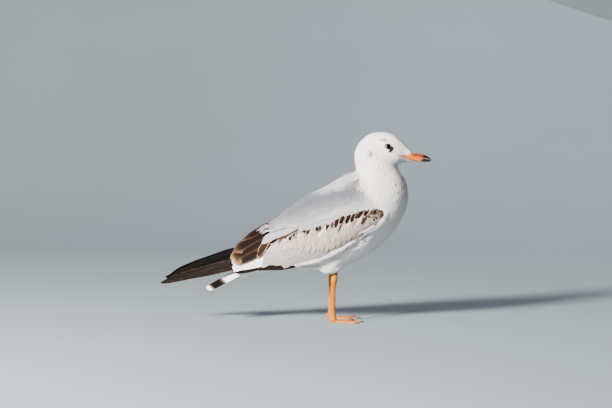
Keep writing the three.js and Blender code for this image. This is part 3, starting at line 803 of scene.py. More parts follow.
def lay_flat(obj, around, count, flat_at, lap):
    """Unwrap a loft by its rings, with the seam's last strip carried past the end."""
    mesh = obj.data
    corners = np.empty(len(mesh.loops), np.int32)
    mesh.loops.foreach_get("vertex_index", corners)
    tip = corners >= count * around
    ring = np.where(tip, np.where(corners == count * around, 0, count - 1), corners // around)
    flat = flat_at(np.minimum(ring, count - 1), corners % around)
    for poly in mesh.polygons:
        span = slice(poly.loop_start, poly.loop_start + poly.loop_total)
        rows = flat[span]
        rows[tip[span], 1] = rows[~tip[span], 1].mean() if tip[span].any() else 0
        if rows[:, 1].max() - rows[:, 1].min() > lap / 2:
            rows[rows[:, 1] < rows[:, 1].max() - lap / 2, 1] += lap
        flat[span] = rows
    mesh.uv_layers.new(name="OFBake").data.foreach_set("uv", flat.astype(np.float32).ravel())


AROUND_BODY, AROUND_THIGH, THIGH_LEVELS = 96, 40, 26
WING_HOLLOW = 10.5  # how far the skin lies under the wing's outer face
DEEPEST_HOLLOW = 9  # the most that it draws in for that
THIGH_UNDER_COAT = 0.86  # the bare thigh's share of the feathered one


def build_skin():
    """Body and thighs as one closed skin, unwrapped by its own sections."""
    places, angles = np.linspace(0, BODY_END, BODY_END * 6 + 1), turns(AROUND_BODY)
    point, _, _, normal = on_surface(body_surface, *grid(places, angles))
    depth = coat_at(*grid(places, angles))[3]
    rings = point - normal * depth[..., None]
    # The skin draws in under the wings, which lie in a hollow of the body.
    stands = over_body(wing_faces, point, normal)
    inset = np.where(np.isnan(stands), 0, np.clip(WING_HOLLOW - stands, 0, DEEPEST_HOLLOW))
    rings = rings - normal * np.maximum(inset - depth, 0)[..., None]
    body = solid_object("skin", [loft_mesh(rings)])
    lay_flat(body, AROUND_BODY, len(places), lambda i, k: unwrap(places[i], angles[k]),
             WHOLE_TURN)
    thighs = []
    levels, round_leg = np.linspace(0, len(THIGH) - 1, THIGH_LEVELS), turns(AROUND_THIGH)
    for sign in (1, -1):
        rings = thigh_surface(*grid(levels, round_leg))
        centre = rings.mean(1, keepdims=True)
        rings = centre + (rings - centre) * THIGH_UNDER_COAT
        rings[..., 1] *= sign
        if sign < 0:
            rings[..., 0] += LEG_X["left"] - LEG_X["right"]
        thigh = solid_object("thigh_skin", [loft_mesh(rings)])
        lay_flat(thigh, AROUND_THIGH, THIGH_LEVELS,
                 lambda i, k: unwrap_thigh(levels[i], round_leg[k], sign), THIGH_TURN)
        union = body.modifiers.new("join", "BOOLEAN")
        union.operation, union.solver, union.object = "UNION", "EXACT", thigh
        thighs.append(thigh)
    whole, spots = made_plain(body)
    for thigh in thighs:
        bpy.data.objects.remove(thigh)
    add_marks(whole, markings(spots / MM))
    return finish_piece(body, DOWN, "body_feathers", "head", "neck", "trunk",
                        "leg_right_thigh", "leg_left_thigh")


# ---------------------------------------------------------------- coat of the body
def scattered(surface, a_span, b_span, gap_at, tries, rng):
    """Roots scattered over a surface, no two nearer than the gap there."""
    a, b = rng.uniform(*a_span, tries), rng.uniform(*b_span, tries)
    point, da, db, _ = on_surface(surface, a, b)
    gap = gap_at(a, b)
    wanted = np.linalg.norm(np.cross(da, db), axis=-1) / gap ** 2
    keep = rng.random(tries) < wanted / np.quantile(wanted, 0.97)
    a, b, point, gap = a[keep], b[keep], point[keep], gap[keep]
    tree = kdtree.KDTree(len(a))
    for i, p in enumerate(point):
        tree.insert(Vector(p), i)
    tree.balance()
    blocked, kept = np.zeros(len(a), bool), []
    for i, p in enumerate(point):
        if not blocked[i]:
            kept.append(i)
            for _, j, _ in tree.find_range(Vector(p), gap[i]):
                blocked[j] = True
    return a[kept], b[kept]


def on_bare_bill(p):
    """Whether a point of the face lies on the bill's bare sides."""
    x, z = p[..., 0], p[..., 2]
    over = np.interp(x, FACE_OVER_BILL[:, 0], FACE_OVER_BILL[:, 1], right=300)
    under = np.interp(x, FACE_UNDER_BILL[:, 0], FACE_UNDER_BILL[:, 1], right=-300)
    return (x > 126.5) & (z < over) & (z > under)


# Each piece of the coat: which sections it spans, how far round the body from the back, rows
# and columns of each vane, how far its shading is softened, and its slot.
COAT_PIECES = {
    "coat_face": ((16.2, 19.0), (0, 3.2), (3, 3), 0.93, "white_feathers"),
    "coat_head": ((12.6, 16.2), (0, 3.2), (3, 3), 0.93, "white_feathers"),
    "coat_neck": ((9.2, 12.6), (0, 3.2), (4, 3), 0.88, "white_feathers"),
    "coat_breast": ((5.6, 9.2), (0, 3.2), (4, 3), 0.75, "body_feathers"),
    "coat_belly": ((-1, 5.6), (1.5, 3.2), (5, 3), 0.7, "body_feathers"),
    "coat_back": ((-1, 5.6), (0, 1.5), (5, 5), 0.7, "body_feathers"),
}

ROOT_TRIES = 500000
MANTLE_OVERHANG = 4.5  # how far the mantle's tips fall below the wing's upper edge
EYE_FIELD, EYE_BARE, SHORTEST = 9, 3.4, 0.9  # feathers shorten within a field round the eye
FLANK_ANGLE = 1.8  # the coat is the mantle's above this angle from the back, the flank's below
BREAST_X, VENT_X = 92, 18  # ahead of the one and behind the other, coat stops at the wing


def eased_over(base, normals):
    """Heights that carry vanes over the wings' edges without a step."""
    away = np.repeat(normals[:, :, None], base.shape[2], 2)
    wing, thigh = (np.nan_to_num(over_body(faces, base, away), nan=-9)
                   for faces in (wing_faces, thigh_faces))
    high = np.maximum(np.maximum(wing + 0.6, thigh + 0.3), 0)
    eased = high
    for _ in range(4):
        pad = np.concatenate([eased[:, :1], eased, eased[:, -1:]], 1)
        eased = np.maximum(high, (pad[:, :-2] + pad[:, 2:]) / 4 + eased / 2)
    return eased


def body_coat():
    rng = np.random.default_rng(SEED)
    place, angle = scattered(body_surface, (-0.6, BODY_END - 0.05), (-math.pi, math.pi),
                             lambda a, b: coat_at(a, b)[0], ROOT_TRIES, rng)
    point, da, db, normal = on_surface(body_surface, place, angle)
    _, length, half, depth = coat_at(place, angle)
    length = length * rng.uniform(0.85, 1.15, len(place))
    half = half * rng.uniform(1.1, 1.45, len(place))
    side = np.abs(angle)
    # The lie of the coat: back along the body, fanning outwards over the shoulders.
    fan = (0.5 * smooth(side, 0.2, 0.9) * (1 - smooth(side, 1.6, 2.1))
           * smooth(place, 2, 4) * (1 - smooth(place, 9.0, 10.5)))
    yaw = np.sign(angle) * fan + rng.normal(0, 0.08, len(place))
    back, out = unit(-da), unit(db)
    out = unit(out - back * (out * back).sum(-1, keepdims=True))
    way = back * np.cos(yaw)[:, None] + out * np.sin(yaw)[:, None]
    per_mm = places_per_mm(da, db, way)
    # Round the eye the feathers are short.
    eye = np.hypot(point[:, 0] - EYE[0], point[:, 2] - EYE[2])
    eye = np.where(np.abs(point[:, 1]) > 5, eye, 99)
    length = np.where(eye < EYE_FIELD,
                      np.minimum(length, np.maximum(eye - EYE_BARE, SHORTEST)), length)
    root = np.stack([place, angle], -1)
    tip_point = point + way * length[:, None]
    stands = over_body(wing_faces, point, normal)
    tip_at = body_surface(*(root + per_mm * length[:, None]).T)
    tip_stands = over_body(wing_faces, tip_at, normal)
    on_thigh = np.fmax(over_body(thigh_faces, tip_at, normal),
                       over_body(thigh_faces, point, normal)) > 0
    # Mantle feathers fall over the wing's upper edge, and flank feathers over its lower one.
    front = (point[:, 0] > BREAST_X) & (side < 2.0)
    near_wing = ~np.isnan(tip_stands) & ~front
    length = np.where(front & ~np.isnan(tip_stands), length * 0.5, length)
    flank = side > FLANK_ANGLE
    tucked = (point[:, 0] < VENT_X) & flank & ~np.isnan(tip_stands)
    length = np.where(tucked, length * 0.55, length)
    near_wing &= ~tucked
    length = np.where(near_wing & flank, length * 1.2, length)
    edge = np.interp(tip_point[:, 0], ARM[::-1, 0], ARM[::-1, 2])
    overhang = MANTLE_OVERHANG * (1 - smooth(point[:, 0], 66, 84))
    room = (point[:, 2] - edge + overhang) / np.maximum(point[:, 2] - tip_point[:, 2], 1)
    length = np.where(near_wing & ~flank, length * np.clip(room, 0.45, 1.1), length)
    keep = np.isnan(stands) & ~on_bare_bill(point) & ~on_bare_bill(tip_point)
    keep &= (eye > LID_RADIUS + 0.2) & (place > -0.6 + 1.2 * (side < 1.6))
    tip = root + per_mm * length[:, None]
    marks = markings(point + way * (length * 0.6)[:, None])
    marks.update(tone=rng.uniform(-1, 1, len(place)), fringe=np.zeros(len(place)),
                 centre=np.zeros(len(place)))
    bake = unwrap(place, angle)
    near_wing |= on_thigh & flank
    # Tips stand out on the flanks, under the tail, and here and there on body and neck.
    stand_out = (
        rng.uniform(-0.03, 0.03, len(place)) * depth + np.where(near_wing & flank, 0.8, 0)
        + np.where(rng.random(len(place)) > 0.985, 0.15 * depth, 0)
        + 3.6 * (1 - smooth(place, 0.9, 2.6)) * smooth(side, 1.6, 2.0)
        + rng.uniform(0.2, 0.9, len(place)) * (rng.random(len(place)) > 0.97) * (place > 8)
        * (place < 13.5))
    for name, (span, sides, (rows, columns), soften, slot) in COAT_PIECES.items():
        chosen = (keep & (place > span[0]) & (place <= span[1])
                  & (side >= sides[0]) & (side < sides[1]))
        parts = []
        for over in (False, True):
            pick = chosen & (near_wing == over)
            if pick.any():
                parts.append(vanes(
                    body_surface, root[pick], tip[pick], half[pick], rows, columns,
                    (0.4, 0.8, 1.0, 0.95, 0.3), -depth[pick] - 0.3, stand_out[pick],
                    0.07, rng, round_tip=0.06, ragged=0.012, camber=0.03 * half[pick].mean(),
                    ease=2.1, soften=soften, drape=eased_over if over else None,
                    bake=bake[pick], marks={k: m[pick] for k, m in marks.items()}))
        vane_piece(name, stitched(parts), WHITE_VANES, slot)


# Long loose plumes of the flank: their roots run back along the wing's lower edge.
PLUME_ROWS = [  # from and to [place, angle from the back], count, length, how far tips stand out
    ((7.3, 2.02), (4.8, 2.36), 40, 27, 2.4), ((7.1, 2.14), (4.5, 2.48), 42, 29, 3.6),
    ((6.7, 2.27), (4.0, 2.6), 38, 28, 3.8), ((5.9, 2.4), (3.6, 2.72), 30, 24, 2.8)]


def white_marks(count, rng):
    """Marks of plain white vanes, which differ in tone alone."""
    marks = {name: np.zeros(count) for name in ("grey", "mark", "fringe", "centre")}
    marks["tone"] = rng.uniform(-1, 1, count)
    return marks


def flank_plumes():
    rng = np.random.default_rng(SEED + 6)
    parts = []
    for first, last, count, length, stand_out in PLUME_ROWS[::-1]:
        root = line_at([first, last], count) * (1, -1)
        root += rng.normal(0, (0.08, 0.025), (count, 2))
        _, da, _, _ = on_surface(body_surface, root[:, 0], root[:, 1])
        reach = rng.uniform(0.8, 1.15, count) * length / np.linalg.norm(da, axis=-1)
        tip = root + np.stack([-reach, rng.normal(-0.02, 0.05, count)], -1)
        marks = white_marks(count, rng)
        parts.append(vanes(
            body_surface, root, tip, rng.uniform(1.9, 2.9, count), 9, 5,
            (0.4, 0.8, 1.0, 1.0, 0.75, 0.2), -2.5, rng.uniform(0.4, 1, count) * stand_out, 0.12,
            rng, round_tip=0.05, ragged=0.012, ease=1.2, soften=0.4, drape=eased_over,
            bow=rng.normal(0, 0.8, count), bake=unwrap(root[:, 0], root[:, 1]), marks=marks))
    both_sides(stitched(parts), "coat_{}_flank", WHITE_VANES, "white_feathers")


def thigh_coat():
    rng = np.random.default_rng(SEED + 1)
    place, angle = scattered(thigh_surface, (1.0, 4.3), (-math.pi, math.pi),
                             lambda a, b: np.full_like(a, 1.3), 40000, rng)
    length = rng.uniform(6, 9, len(place))
    _, da, _, _ = on_surface(thigh_surface, place, angle)
    run = np.linalg.norm(da, axis=-1)
    root = np.stack([place, angle], -1)
    tip = root + np.stack([length / run, rng.normal(0, 0.12, len(place))], -1)
    tip[:, 0] = np.minimum(tip[:, 0], len(THIGH) - 0.75)
    marks = white_marks(len(place), rng)
    part = vanes(thigh_surface, root, tip, rng.uniform(1.1, 1.6, len(place)), 4, 3,
                 (0.35, 0.9, 1.0, 0.8, 0.3), -1.3, 0.1, 0.1, rng, round_tip=0.06, ragged=0.015,
                 ease=1.6, soften=0.7, bake=unwrap_thigh(place, angle, 1), marks=marks)
    vane_piece("coat_right_thigh", part, WHITE_VANES, "white_feathers")
    left = mirrored(part)
    left["points"] = left["points"] + (LEG_X["left"] - LEG_X["right"], 0, 0)
    left["bake"] = left["bake"] + (0, -0.5)
    vane_piece("coat_left_thigh", left, WHITE_VANES, "white_feathers")


# ---------------------------------------------------------------- wings
# Rows of the wing from under to over. Roots and tips are lines of [place, share] from the
# wrist to the tertials; then count, half width, heights of root and tip, and the marks.
WING_ROWS = [
    # edges of the secondaries
    dict(roots=[(1.4, .72), (4.5, .74), (6.3, .6)], tips=[(3.0, .99), (5.2, .995), (7.5, .97)],
         count=12, half=5.5, sink=-2.1, lift=-1.1, grey=.8, fringe=.0, centre=.0),
    # greater coverts
    dict(roots=[(1.2, .7), (2.4, .66), (3.8, .58), (5, .5), (5.4, .42), (5.6, .35)],
         tips=[(3.2, .99), (4.6, .99), (6, .98), (7.35, .95), (7.2, .78), (7, .62)],
         count=15, half=6.5, sink=-1.9, lift=-.8, grey=.9, fringe=.2, centre=.0),
    # median coverts, in two rows
    dict(roots=[(.9, .5), (2.4, .38), (3.8, .3), (5.2, .26), (6.2, .4)],
         tips=[(1.9, .98), (2.9, .92), (3.85, .85), (5.2, .68), (6.65, .57)],
         count=27, half=3.6, sink=-1.5, lift=-.5, grey=.45, fringe=.5, centre=.12),
    dict(roots=[(.9, .3), (2.4, .2), (3.8, .2), (5.2, .22), (6.2, .3)],
         tips=[(1.7, .82), (2.8, .76), (3.75, .7), (5.1, .56), (6.5, .54)],
         count=27, half=3.4, sink=-1.3, lift=-.3, grey=.35, fringe=.4, centre=.2),
    # lesser coverts, in two rows of dark drops, which are sparser to the rear
    dict(roots=[(.8, .1), (2.2, .08), (3.4, .12), (4.6, .12), (5.6, .14), (6.1, .25)],
         tips=[(1.5, .62), (2.75, .57), (3.8, .51), (4.9, .45), (5.8, .42), (6.5, .54)],
         count=24, half=3.2, sink=-1.1, lift=-.1, grey=.25, fringe=.4, centre=(-.2, 1.4), fade=.5,
         mark=(-.3, .2), scatter=1.8),
    dict(roots=[(.5, 0), (1.9, .0), (3.1, .0), (4.3, .02), (5.3, .05), (6, .15)],
         tips=[(1.1, .44), (2.35, .4), (3.45, .39), (4.6, .36), (5.6, .33), (6.3, .46)],
         count=24, half=3.1, sink=-.9, lift=.1, grey=.25, fringe=.3, centre=(.5, 2.0),
         mark=(-.3, .4), scatter=1.5),
    # edge of the shoulder, along the upper side of the dark bar
    dict(roots=[(1.6, -.02), (2.6, -.02), (3.8, -.02), (5.0, -.02), (5.9, .0), (6.3, .1)],
         tips=[(2.3, .14), (3.2, .19), (4.4, .23), (5.5, .23), (6.3, .31), (6.75, .42)],
         count=26, half=3.4, sink=-.7, lift=.3, grey=1.0, fringe=.0, centre=.0),
]
# Single feathers: root, tip, half width, heights, then grey, fringe, centre, mark.
TERTIALS = [
    ((6.2, .9), (10.6, 1.01), 4.4, (-2.0, -1.2), (1, 0, 0, 0)),
    ((6.3, .8), (10.5, .95), 5.5, (-1.9, -.8), (1, .25, 0, 0)),
    ((6.4, .6), (10.4, .8), 7.0, (-1.8, -.4), (.1, 1, .9, 0)),
    ((6.3, .4), (10.95, .5), 8.0, (-1.7, -.1), (0, .9, .95, 0)),
    ((6.2, .2), (10.4, .3), 8.0, (-1.6, .1), (0, .35, 1, .1)),
    ((6.1, .04), (9.3, .1), 7.0, (-1.4, .3), (0, .2, 1, .1)),
]
COVERT_SINGLES = [
    ((6.7, .3), (7.85, .82), 4.6, (-.6, .7), (.1, 1, 1, .2)),
    ((6.1, .16), (7.4, .52), 5.6, (-.5, 1.0), (.9, .0, 0, 0)),
    ((5.9, .0), (7.2, .23), 5.0, (-.3, 1.3), (.6, .3, 0, 0)),
    ((5.8, -.08), (7.15, .1), 4.6, (0, 1.6), (.4, .5, 0, 0)),
    # This narrow dark one is a dark brown feather edge, and partly painted shade along the lower
    # edge of the scapulars.
    ((5.3, .12), (6.6, .42), 1.3, (-.2, 1.3), (.2, 0, 1, .8)),
    ((6.5, .14), (7.35, .2), 1.5, (.9, 2.0), (.2, .4, 1, .6)),
    ((6.75, -.0), (7.1, .07), 2.2, (1.2, 2.3), (.2, .6, 1, .3)),
]


def island_bakes(count, columns=8):
    """Cells of a grid, one for each big feather."""
    rows = math.ceil(count / columns)
    cell = np.array([[i % columns, i // columns] for i in range(count)], float)
    size = (0.96 / columns, 0.96 / rows)
    return cell * (1 / columns, 1 / rows) + 0.005, size


def line_at(line, count):
    line = np.array(line, float)
    t = np.linspace(0, len(line) - 1, count)
    return np.stack([np.interp(t, np.arange(len(line)), line[:, k]) for k in (0, 1)], -1)


def row_marks(count, rng, grey, fringe, centre, mark=0.0, vary=0.25):
    """Marks of a row of feathers, each a number to vary around or a range to draw from."""
    def spread(v):
        if isinstance(v, tuple):
            return np.clip(rng.uniform(*v, count), 0, 1)
        return np.clip(v + vary * v * (1.02 - v) * rng.uniform(-1, 1, count), 0, 1)
    return dict(grey=spread(grey), fringe=spread(fringe), centre=spread(centre),
                mark=spread(mark), tone=rng.uniform(-1, 1, count))


def wing_coverts():
    rng = np.random.default_rng(SEED + 2)
    lots = []
    for row in WING_ROWS:
        n = row["count"]
        loose = row.get("scatter", 1)
        root = line_at(row["roots"], n) + loose * rng.normal(0, (0.05, 0.012), (n, 2))
        tip = line_at(row["tips"], n) + loose * rng.normal(0, (0.07, 0.02), (n, 2))
        lots.append((root, tip, row["half"] * rng.uniform(1 - .12 * loose, 1.1, n),
                     np.full(n, row["sink"]), row["lift"] + rng.uniform(-.15, .15, n),
                     row_marks(n, rng, row["grey"], row["fringe"], row["centre"],
                               row.get("mark", 0))))
        lots[-1][-1]["centre"] *= np.linspace(1, row.get("fade", 1), n)
    # Small dark feathers over the wrist, paler low down.
    n = 130
    root = np.stack([rng.uniform(0.05, 1.5, n), rng.uniform(-0.02, 0.84, n)], -1)
    root = root[np.argsort(-root[:, 0])]
    tip = root + np.stack([rng.uniform(.35, .5, n), rng.uniform(.05, .2, n)], -1)
    dark = row_marks(n, rng, .15, (.0, .5), (.75, 1))
    dark["centre"] *= np.where(root[:, 1] < 0.42, 1, np.where(root[:, 0] < 0.5, 0.95, 0.35))
    dark["mark"] = rng.uniform(.1, .7, n) * (root[:, 1] < 0.3) * (root[:, 0] > 0.3)
    lots.append((root, tip, rng.uniform(1.8, 2.6, n), np.full(n, -1.0), rng.uniform(-.2, .4, n),
                 dark))
    for root, tip, half, (sink, lift), (grey, fringe, centre, mark) in COVERT_SINGLES:
        lots.append(([root], [tip], half, sink, lift,
                     row_marks(1, rng, grey, fringe, centre, mark, 0)))
    total = sum(len(lot[0]) for lot in lots)
    bakes, size = island_bakes(total, 18)
    parts, start = [], 0
    for root, tip, half, sink, lift, marks in lots:
        parts.append(vanes(arm_surface, root, tip, half, 8, 7, (0.4, 0.75, 0.95, 1, 0.95, 0.7),
                           sink, lift, 0.3, rng, round_tip=0.2, camber=0.25, ragged=0.016,
                           soften=0.5, bake=bakes[start:start + len(root)], bake_size=size,
                           marks=marks))
        start += len(root)
    both_sides(stitched(parts), "{}_wing_coverts", COVERT_VANES, "covert_feathers")


def wing_tertials():
    rng = np.random.default_rng(SEED + 3)
    bakes, size = island_bakes(len(TERTIALS), 3)
    parts = []
    for i, (root, tip, half, (sink, lift), (grey, fringe, centre, mark)) in enumerate(TERTIALS):
        parts.append(vanes(arm_surface, root, tip, half, 16, 9,
                           (0.5, 0.8, 0.95, 1, 1, 0.9, 0.62), sink, lift, 0.4, rng,
                           round_tip=0.16, camber=0.45, ragged=0.008, soften=0.3,
                           bake=bakes[i:i + 1], bake_size=size,
                           marks=row_marks(1, rng, grey, fringe, centre, mark, 0)))
    both_sides(stitched(parts), "{}_wing_tertials", TERTIAL_VANES, "tertial_feathers",
               "wing_{}_tertials")


# Primaries from the longest to the shortest, which lies over the others: root, tip, half width,
# heights of root and tip, how black the web is and how strong its pale edge.
QUILLS = [
    ((0.0, .90), (6.98, .6), 5.0, (-1.9, -.2), 0.1, 0.9),
    ((0.0, .72), (6.3, .42), 5.0, (-1.6, -.1), 0.8, 0.6),
    ((0.0, .62), (4.55, .88), 5.2, (-1.3, .0), 0.15, 0.25),
    ((0.0, .66), (3.2, .72), 5.6, (-1.0, .2), 0.1, 0.5),
    ((0.0, .62), (1.9, .72), 5.6, (-.7, .4), 0.1, 0.8),
    ((0.2, .16), (6.6, .16), 4.2, (-2.4, -.8), 1.0, 0.1),
    ((0.2, .05), (5.9, -.15), 4.2, (-2.8, -1.0), 1.0, 0.1),
]


def wing_primaries():
    bakes, size = island_bakes(len(QUILLS) + 2, 3)

    def settled(rise, short):
        """The primaries' surface, raised and shortened more and more towards their tips."""
        def surface(place, share):
            p = blade(PRIMARIES, place, share)
            first, last = PRIMARIES[0, 0], PRIMARIES[-1, 0]
            part = np.clip((first - p[..., 0]) / (first - last), 0, 1)
            return p + np.stack([part * short, 0 * part, part * rise], -1)
        return surface

    for side, surface in (("right", settled(0, 0)), ("left", settled(LEFT_RISE, LEFT_SHORT))):
        rng = np.random.default_rng(SEED + 4)
        parts = []
        for i, (root, tip, half, (sink, lift), black, edge) in enumerate(QUILLS):
            parts.append(vanes(surface, root, tip, half, 24, 7,
                               (0.9, 1, 1, .95, .85, .62, .12), sink, lift, 0.45, rng,
                               round_tip=0.02, camber=0.25, ragged=0.002,
                               bake=bakes[i:i + 1], bake_size=size,
                               marks=row_marks(1, rng, black, edge, 0.9 * (1 - black), 0, 0)))
        # Dark vanes under the secondaries' lower edge: partly the dark edges of the shorter
        # primaries, partly painted shade of the gap under the wing.
        parts.append(vanes(arm_surface, [[7.25, 1.0], [2.6, .95]], [[10.9, 1.12], [7.9, 1.03]],
                           [3.0, 2.9], 24, 5, (0.2, 0.8, 1, 1, 0.8), [-3.4, -2.6], [-3.0, -2.4],
                           0.4, rng, round_tip=0.03, ragged=0.0, bake=bakes[-2:],
                           bake_size=size, marks=row_marks(2, rng, .6, 0, 0, 0)))
        part = stitched(parts)
        if side == "left":
            part = mirrored(part)
        vane_piece(f"{side}_wing_primaries", part, PRIMARY_VANES, "primary_feathers",
                   f"wing_{side}_primaries")


BED_MARKS = {"grey": 0.5, "mark": 0.25}


def wing_beds():
    """Plain ground under the coverts, in their middle tone."""
    for side in SIDES:
        points, faces = arm_bed
        if side == "left":
            points = points * (1, -1, 1)
        bed = solid_object(f"{side}_wing_bed", [(points, faces)])
        add_marks(bed.data, {name: np.full(len(bed.data.vertices), value)
                             for name, value in BED_MARKS.items()})
        finish_piece(bed, DOWN, "covert_feathers", f"wing_{side}_coverts")


TAIL_VANE_COUNT = 12


def tail_feathers():
    """Twelve feathers, the outer ones lowest, with the band as a mark along each."""
    rng = np.random.default_rng(SEED + 5)
    n = TAIL_VANE_COUNT
    order = np.argsort(-np.abs(np.arange(n) - (n - 1) / 2))
    bakes, size = island_bakes(n, 4)
    parts = []
    for rank, i in enumerate(order):
        share = 0.13 + 0.74 * i / (n - 1)
        off = abs(i - (n - 1) / 2) / ((n - 1) / 2)
        root, tip = (0.4, 0.5 + (share - 0.5) * 0.5), (5.0 - 0.45 * off ** 1.6, share)
        u = np.linspace(0, 1, 21)
        band = smooth(u, 0.5, 0.56) * (1 - smooth(u, 0.84, 0.88))
        marks = dict(grey=np.full(1, 0.1), fringe=np.full(1, 0.0), centre=np.full(1, 0.0),
                     tone=rng.uniform(-1, 1, 1), mark=np.repeat(band[None, :, None], 7, 2))
        parts.append(vanes(tail_surface, root, tip, 6.0, 20, 7,
                           (0.5, 0.7, 0.85, 0.95, 1, 1, 0.85), -1.6 - 1.4 * off,
                           -0.1 - 0.55 * off, 0.3, rng, round_tip=0.07, camber=0.1,
                           ragged=0.004, bake=bakes[rank:rank + 1], bake_size=size,
                           marks=marks))
    vane_piece("tail_feathers", stitched(parts), TAIL_VANES, "tail_feathers", "tail")


# ---------------------------------------------------------------- head pieces
def bill_half(name, table, node_name):
    """Half of the bill: rounded outside, flat along the mouth, the upper one with nostrils."""
    steps, arc = 110, 40
    rings = []
    for place in np.linspace(0, len(table) - 1, steps):
        x, line, ridge, side = along(table, place)
        way = np.sign(ridge - line)
        start = line + way * MOUTH_GAP
        turn = np.linspace(0, math.pi, arc)
        y = np.cos(turn) * side
        z = start + np.sin(turn) ** 0.9 * (ridge - start)
        flat = np.linspace(-1, 1, 12)[1:-1]
        ring = [(x, a, b) for a, b in zip(y, z)]
        ring += [(x, side * f * 0.97, start + way * 0.1 * (1 - f * f)) for f in flat]
        rings.append(ring)
    rings = np.array(rings)
    if way > 0:
        pit = np.hypot((rings[..., 0] - NOSTRIL[0]) / 2.6, (rings[..., 2] - NOSTRIL[1]) / 0.75)
        rings[..., 1] *= 1 - 0.16 * np.exp(-pit ** 2) * (rings[..., 2] > 200.5)
    piece = solid_object(name, [loft_mesh(rings)])
    return finish_piece(piece, BILL_HORN, "bill_horn", node_name)


def gape_line(side, sign):
    """The bare corner of the mouth, a thin fold lying on the feathers of the cheek."""
    coat = grid_tree(body_surface, (14, 19), (0.4, 2.9), (60, 90))
    rings = []
    for share in np.linspace(0, 1, 16):
        x, z = 126.6 + 9.0 * share, 203.15 - 1.85 * share
        hit = coat.ray_cast(Vector((x, 40, z)), Vector((0, -1, 0)))
        y = hit[0][1] - 0.15
        turn = turns(10)
        high, deep = 0.15 + 0.5 * share, 0.35
        rings.append(np.stack([np.full(10, x), sign * (y + deep * np.cos(turn)),
                               z + high * np.sin(turn)], -1))
    finish_piece(solid_object(f"{side}_gape", [loft_mesh(rings)]), BILL_HORN, "bill_horn")


def eye_and_lid(side, sign):
    """The eyeball, and the lids' bare rim round its opening."""
    rings = []
    for polar in np.linspace(0.02, math.pi - 0.02, 40):
        turn = turns(56)
        rings.append(np.stack([EYE[0] + EYE_RADIUS * np.sin(polar) * np.cos(turn),
                               np.full(56, sign * (EYE[1] + EYE_RADIUS * np.cos(polar))),
                               EYE[2] + EYE_RADIUS * np.sin(polar) * np.sin(turn)], -1))
    finish_piece(solid_object(f"{side}_eye", [loft_mesh(rings)]), WET_EYE, "eye",
                 f"eye_{side}")
    # The rim hugs the ball, a little longer than high.
    rim, around, thick = 64, 16, 0.42
    out = math.sqrt(EYE_RADIUS ** 2 - LID_RADIUS ** 2) + 0.1
    points, faces = [], []
    for i in range(rim):
        turn = i / rim * 2 * math.pi
        for k in range(around):
            roll = k / around * 2 * math.pi
            reach = LID_RADIUS + thick * math.cos(roll) + 0.12
            points.append((EYE[0] + reach * math.cos(turn) * 1.06,
                           sign * (EYE[1] + out + thick * 1.1 * math.sin(roll)),
                           EYE[2] + reach * math.sin(turn) * 0.97))
            a, b = (i + 1) % rim, (k + 1) % around
            faces.append((i * around + k, i * around + b, a * around + b, a * around + k))
    finish_piece(solid_object(f"{side}_eyelids", [(np.array(points), faces)]), LID_SKIN,
                 "eye")


# ---------------------------------------------------------------- legs
def shank_loft():
    """Right shank about its own axis, with scutes down its front."""
    rings = []
    turn = turns(32)
    # The last rings run on past the table, down into the heel's pad.
    for place in np.linspace(0, len(SHANK) - 0.15, 160):
        ahead, height, long, wide = along(SHANK, place)
        scute = (height / 1.9) % 1
        ridge = 0.16 * (1 - scute) * np.clip(np.cos(turn), 0, 1) ** 0.5
        ridge = np.where(height < 56, ridge, 0.3 * ridge)
        side = 0.06 * np.cos(height / 1.3 * 2 * math.pi) * np.clip(-np.cos(turn), 0, 1)
        rings.append(np.stack([ahead + (long + ridge + side) * np.cos(turn),
                               (wide + ridge * 0.3) * np.sin(turn), np.full(32, height)], -1))
    return loft_mesh(rings)


def turned(rings, degrees):
    """Rings turned about the foot's upright axis."""
    c, s = math.cos(math.radians(degrees)), math.sin(math.radians(degrees))
    x, y, z = np.moveaxis(rings, -1, 0)
    return np.stack([x * c - y * s, x * s + y * c, z], -1)


TOE_SHARES = (0, .3, .65, .97, 1)  # where along a toe its radius and height are given


def toe_loft(length, turn, knuckles):
    """A toe with swollen knuckles and scutes over it, flat below."""
    rings = []
    over = np.linspace(0, math.pi, 19)
    for x in np.linspace(-2.5, length, int((length + 2.5) / 0.32)):
        t = np.clip(x / length, 0, 1)
        radius = np.interp(t, TOE_SHARES, (TOE_RADIUS, TOE_RADIUS, TOE_RADIUS * .85, TOE_TIP,
                                           TOE_TIP * .6))
        high = np.interp(t, TOE_SHARES, (TOE_HEIGHT * 1.1, TOE_HEIGHT, TOE_HEIGHT * .85,
                                         TOE_HEIGHT * .7, TOE_HEIGHT * .5))
        swell = sum(math.exp(-((t - k) * length / 1.6) ** 2) for k in knuckles)
        radius *= 0.9 + 0.12 * swell
        high *= 0.93 + 0.1 * swell
        scute = 0.11 * (1 - (x / 1.5) % 1)
        y, z = np.cos(over) * radius, np.sin(over) ** 0.8 * (high + scute * np.sin(over))
        rings.append([(x, a, max(b, 0)) for a, b in zip(y, z)])
    return loft_mesh(turned(np.array(rings), turn) + (TOE_ROOT_X, 0, 0))


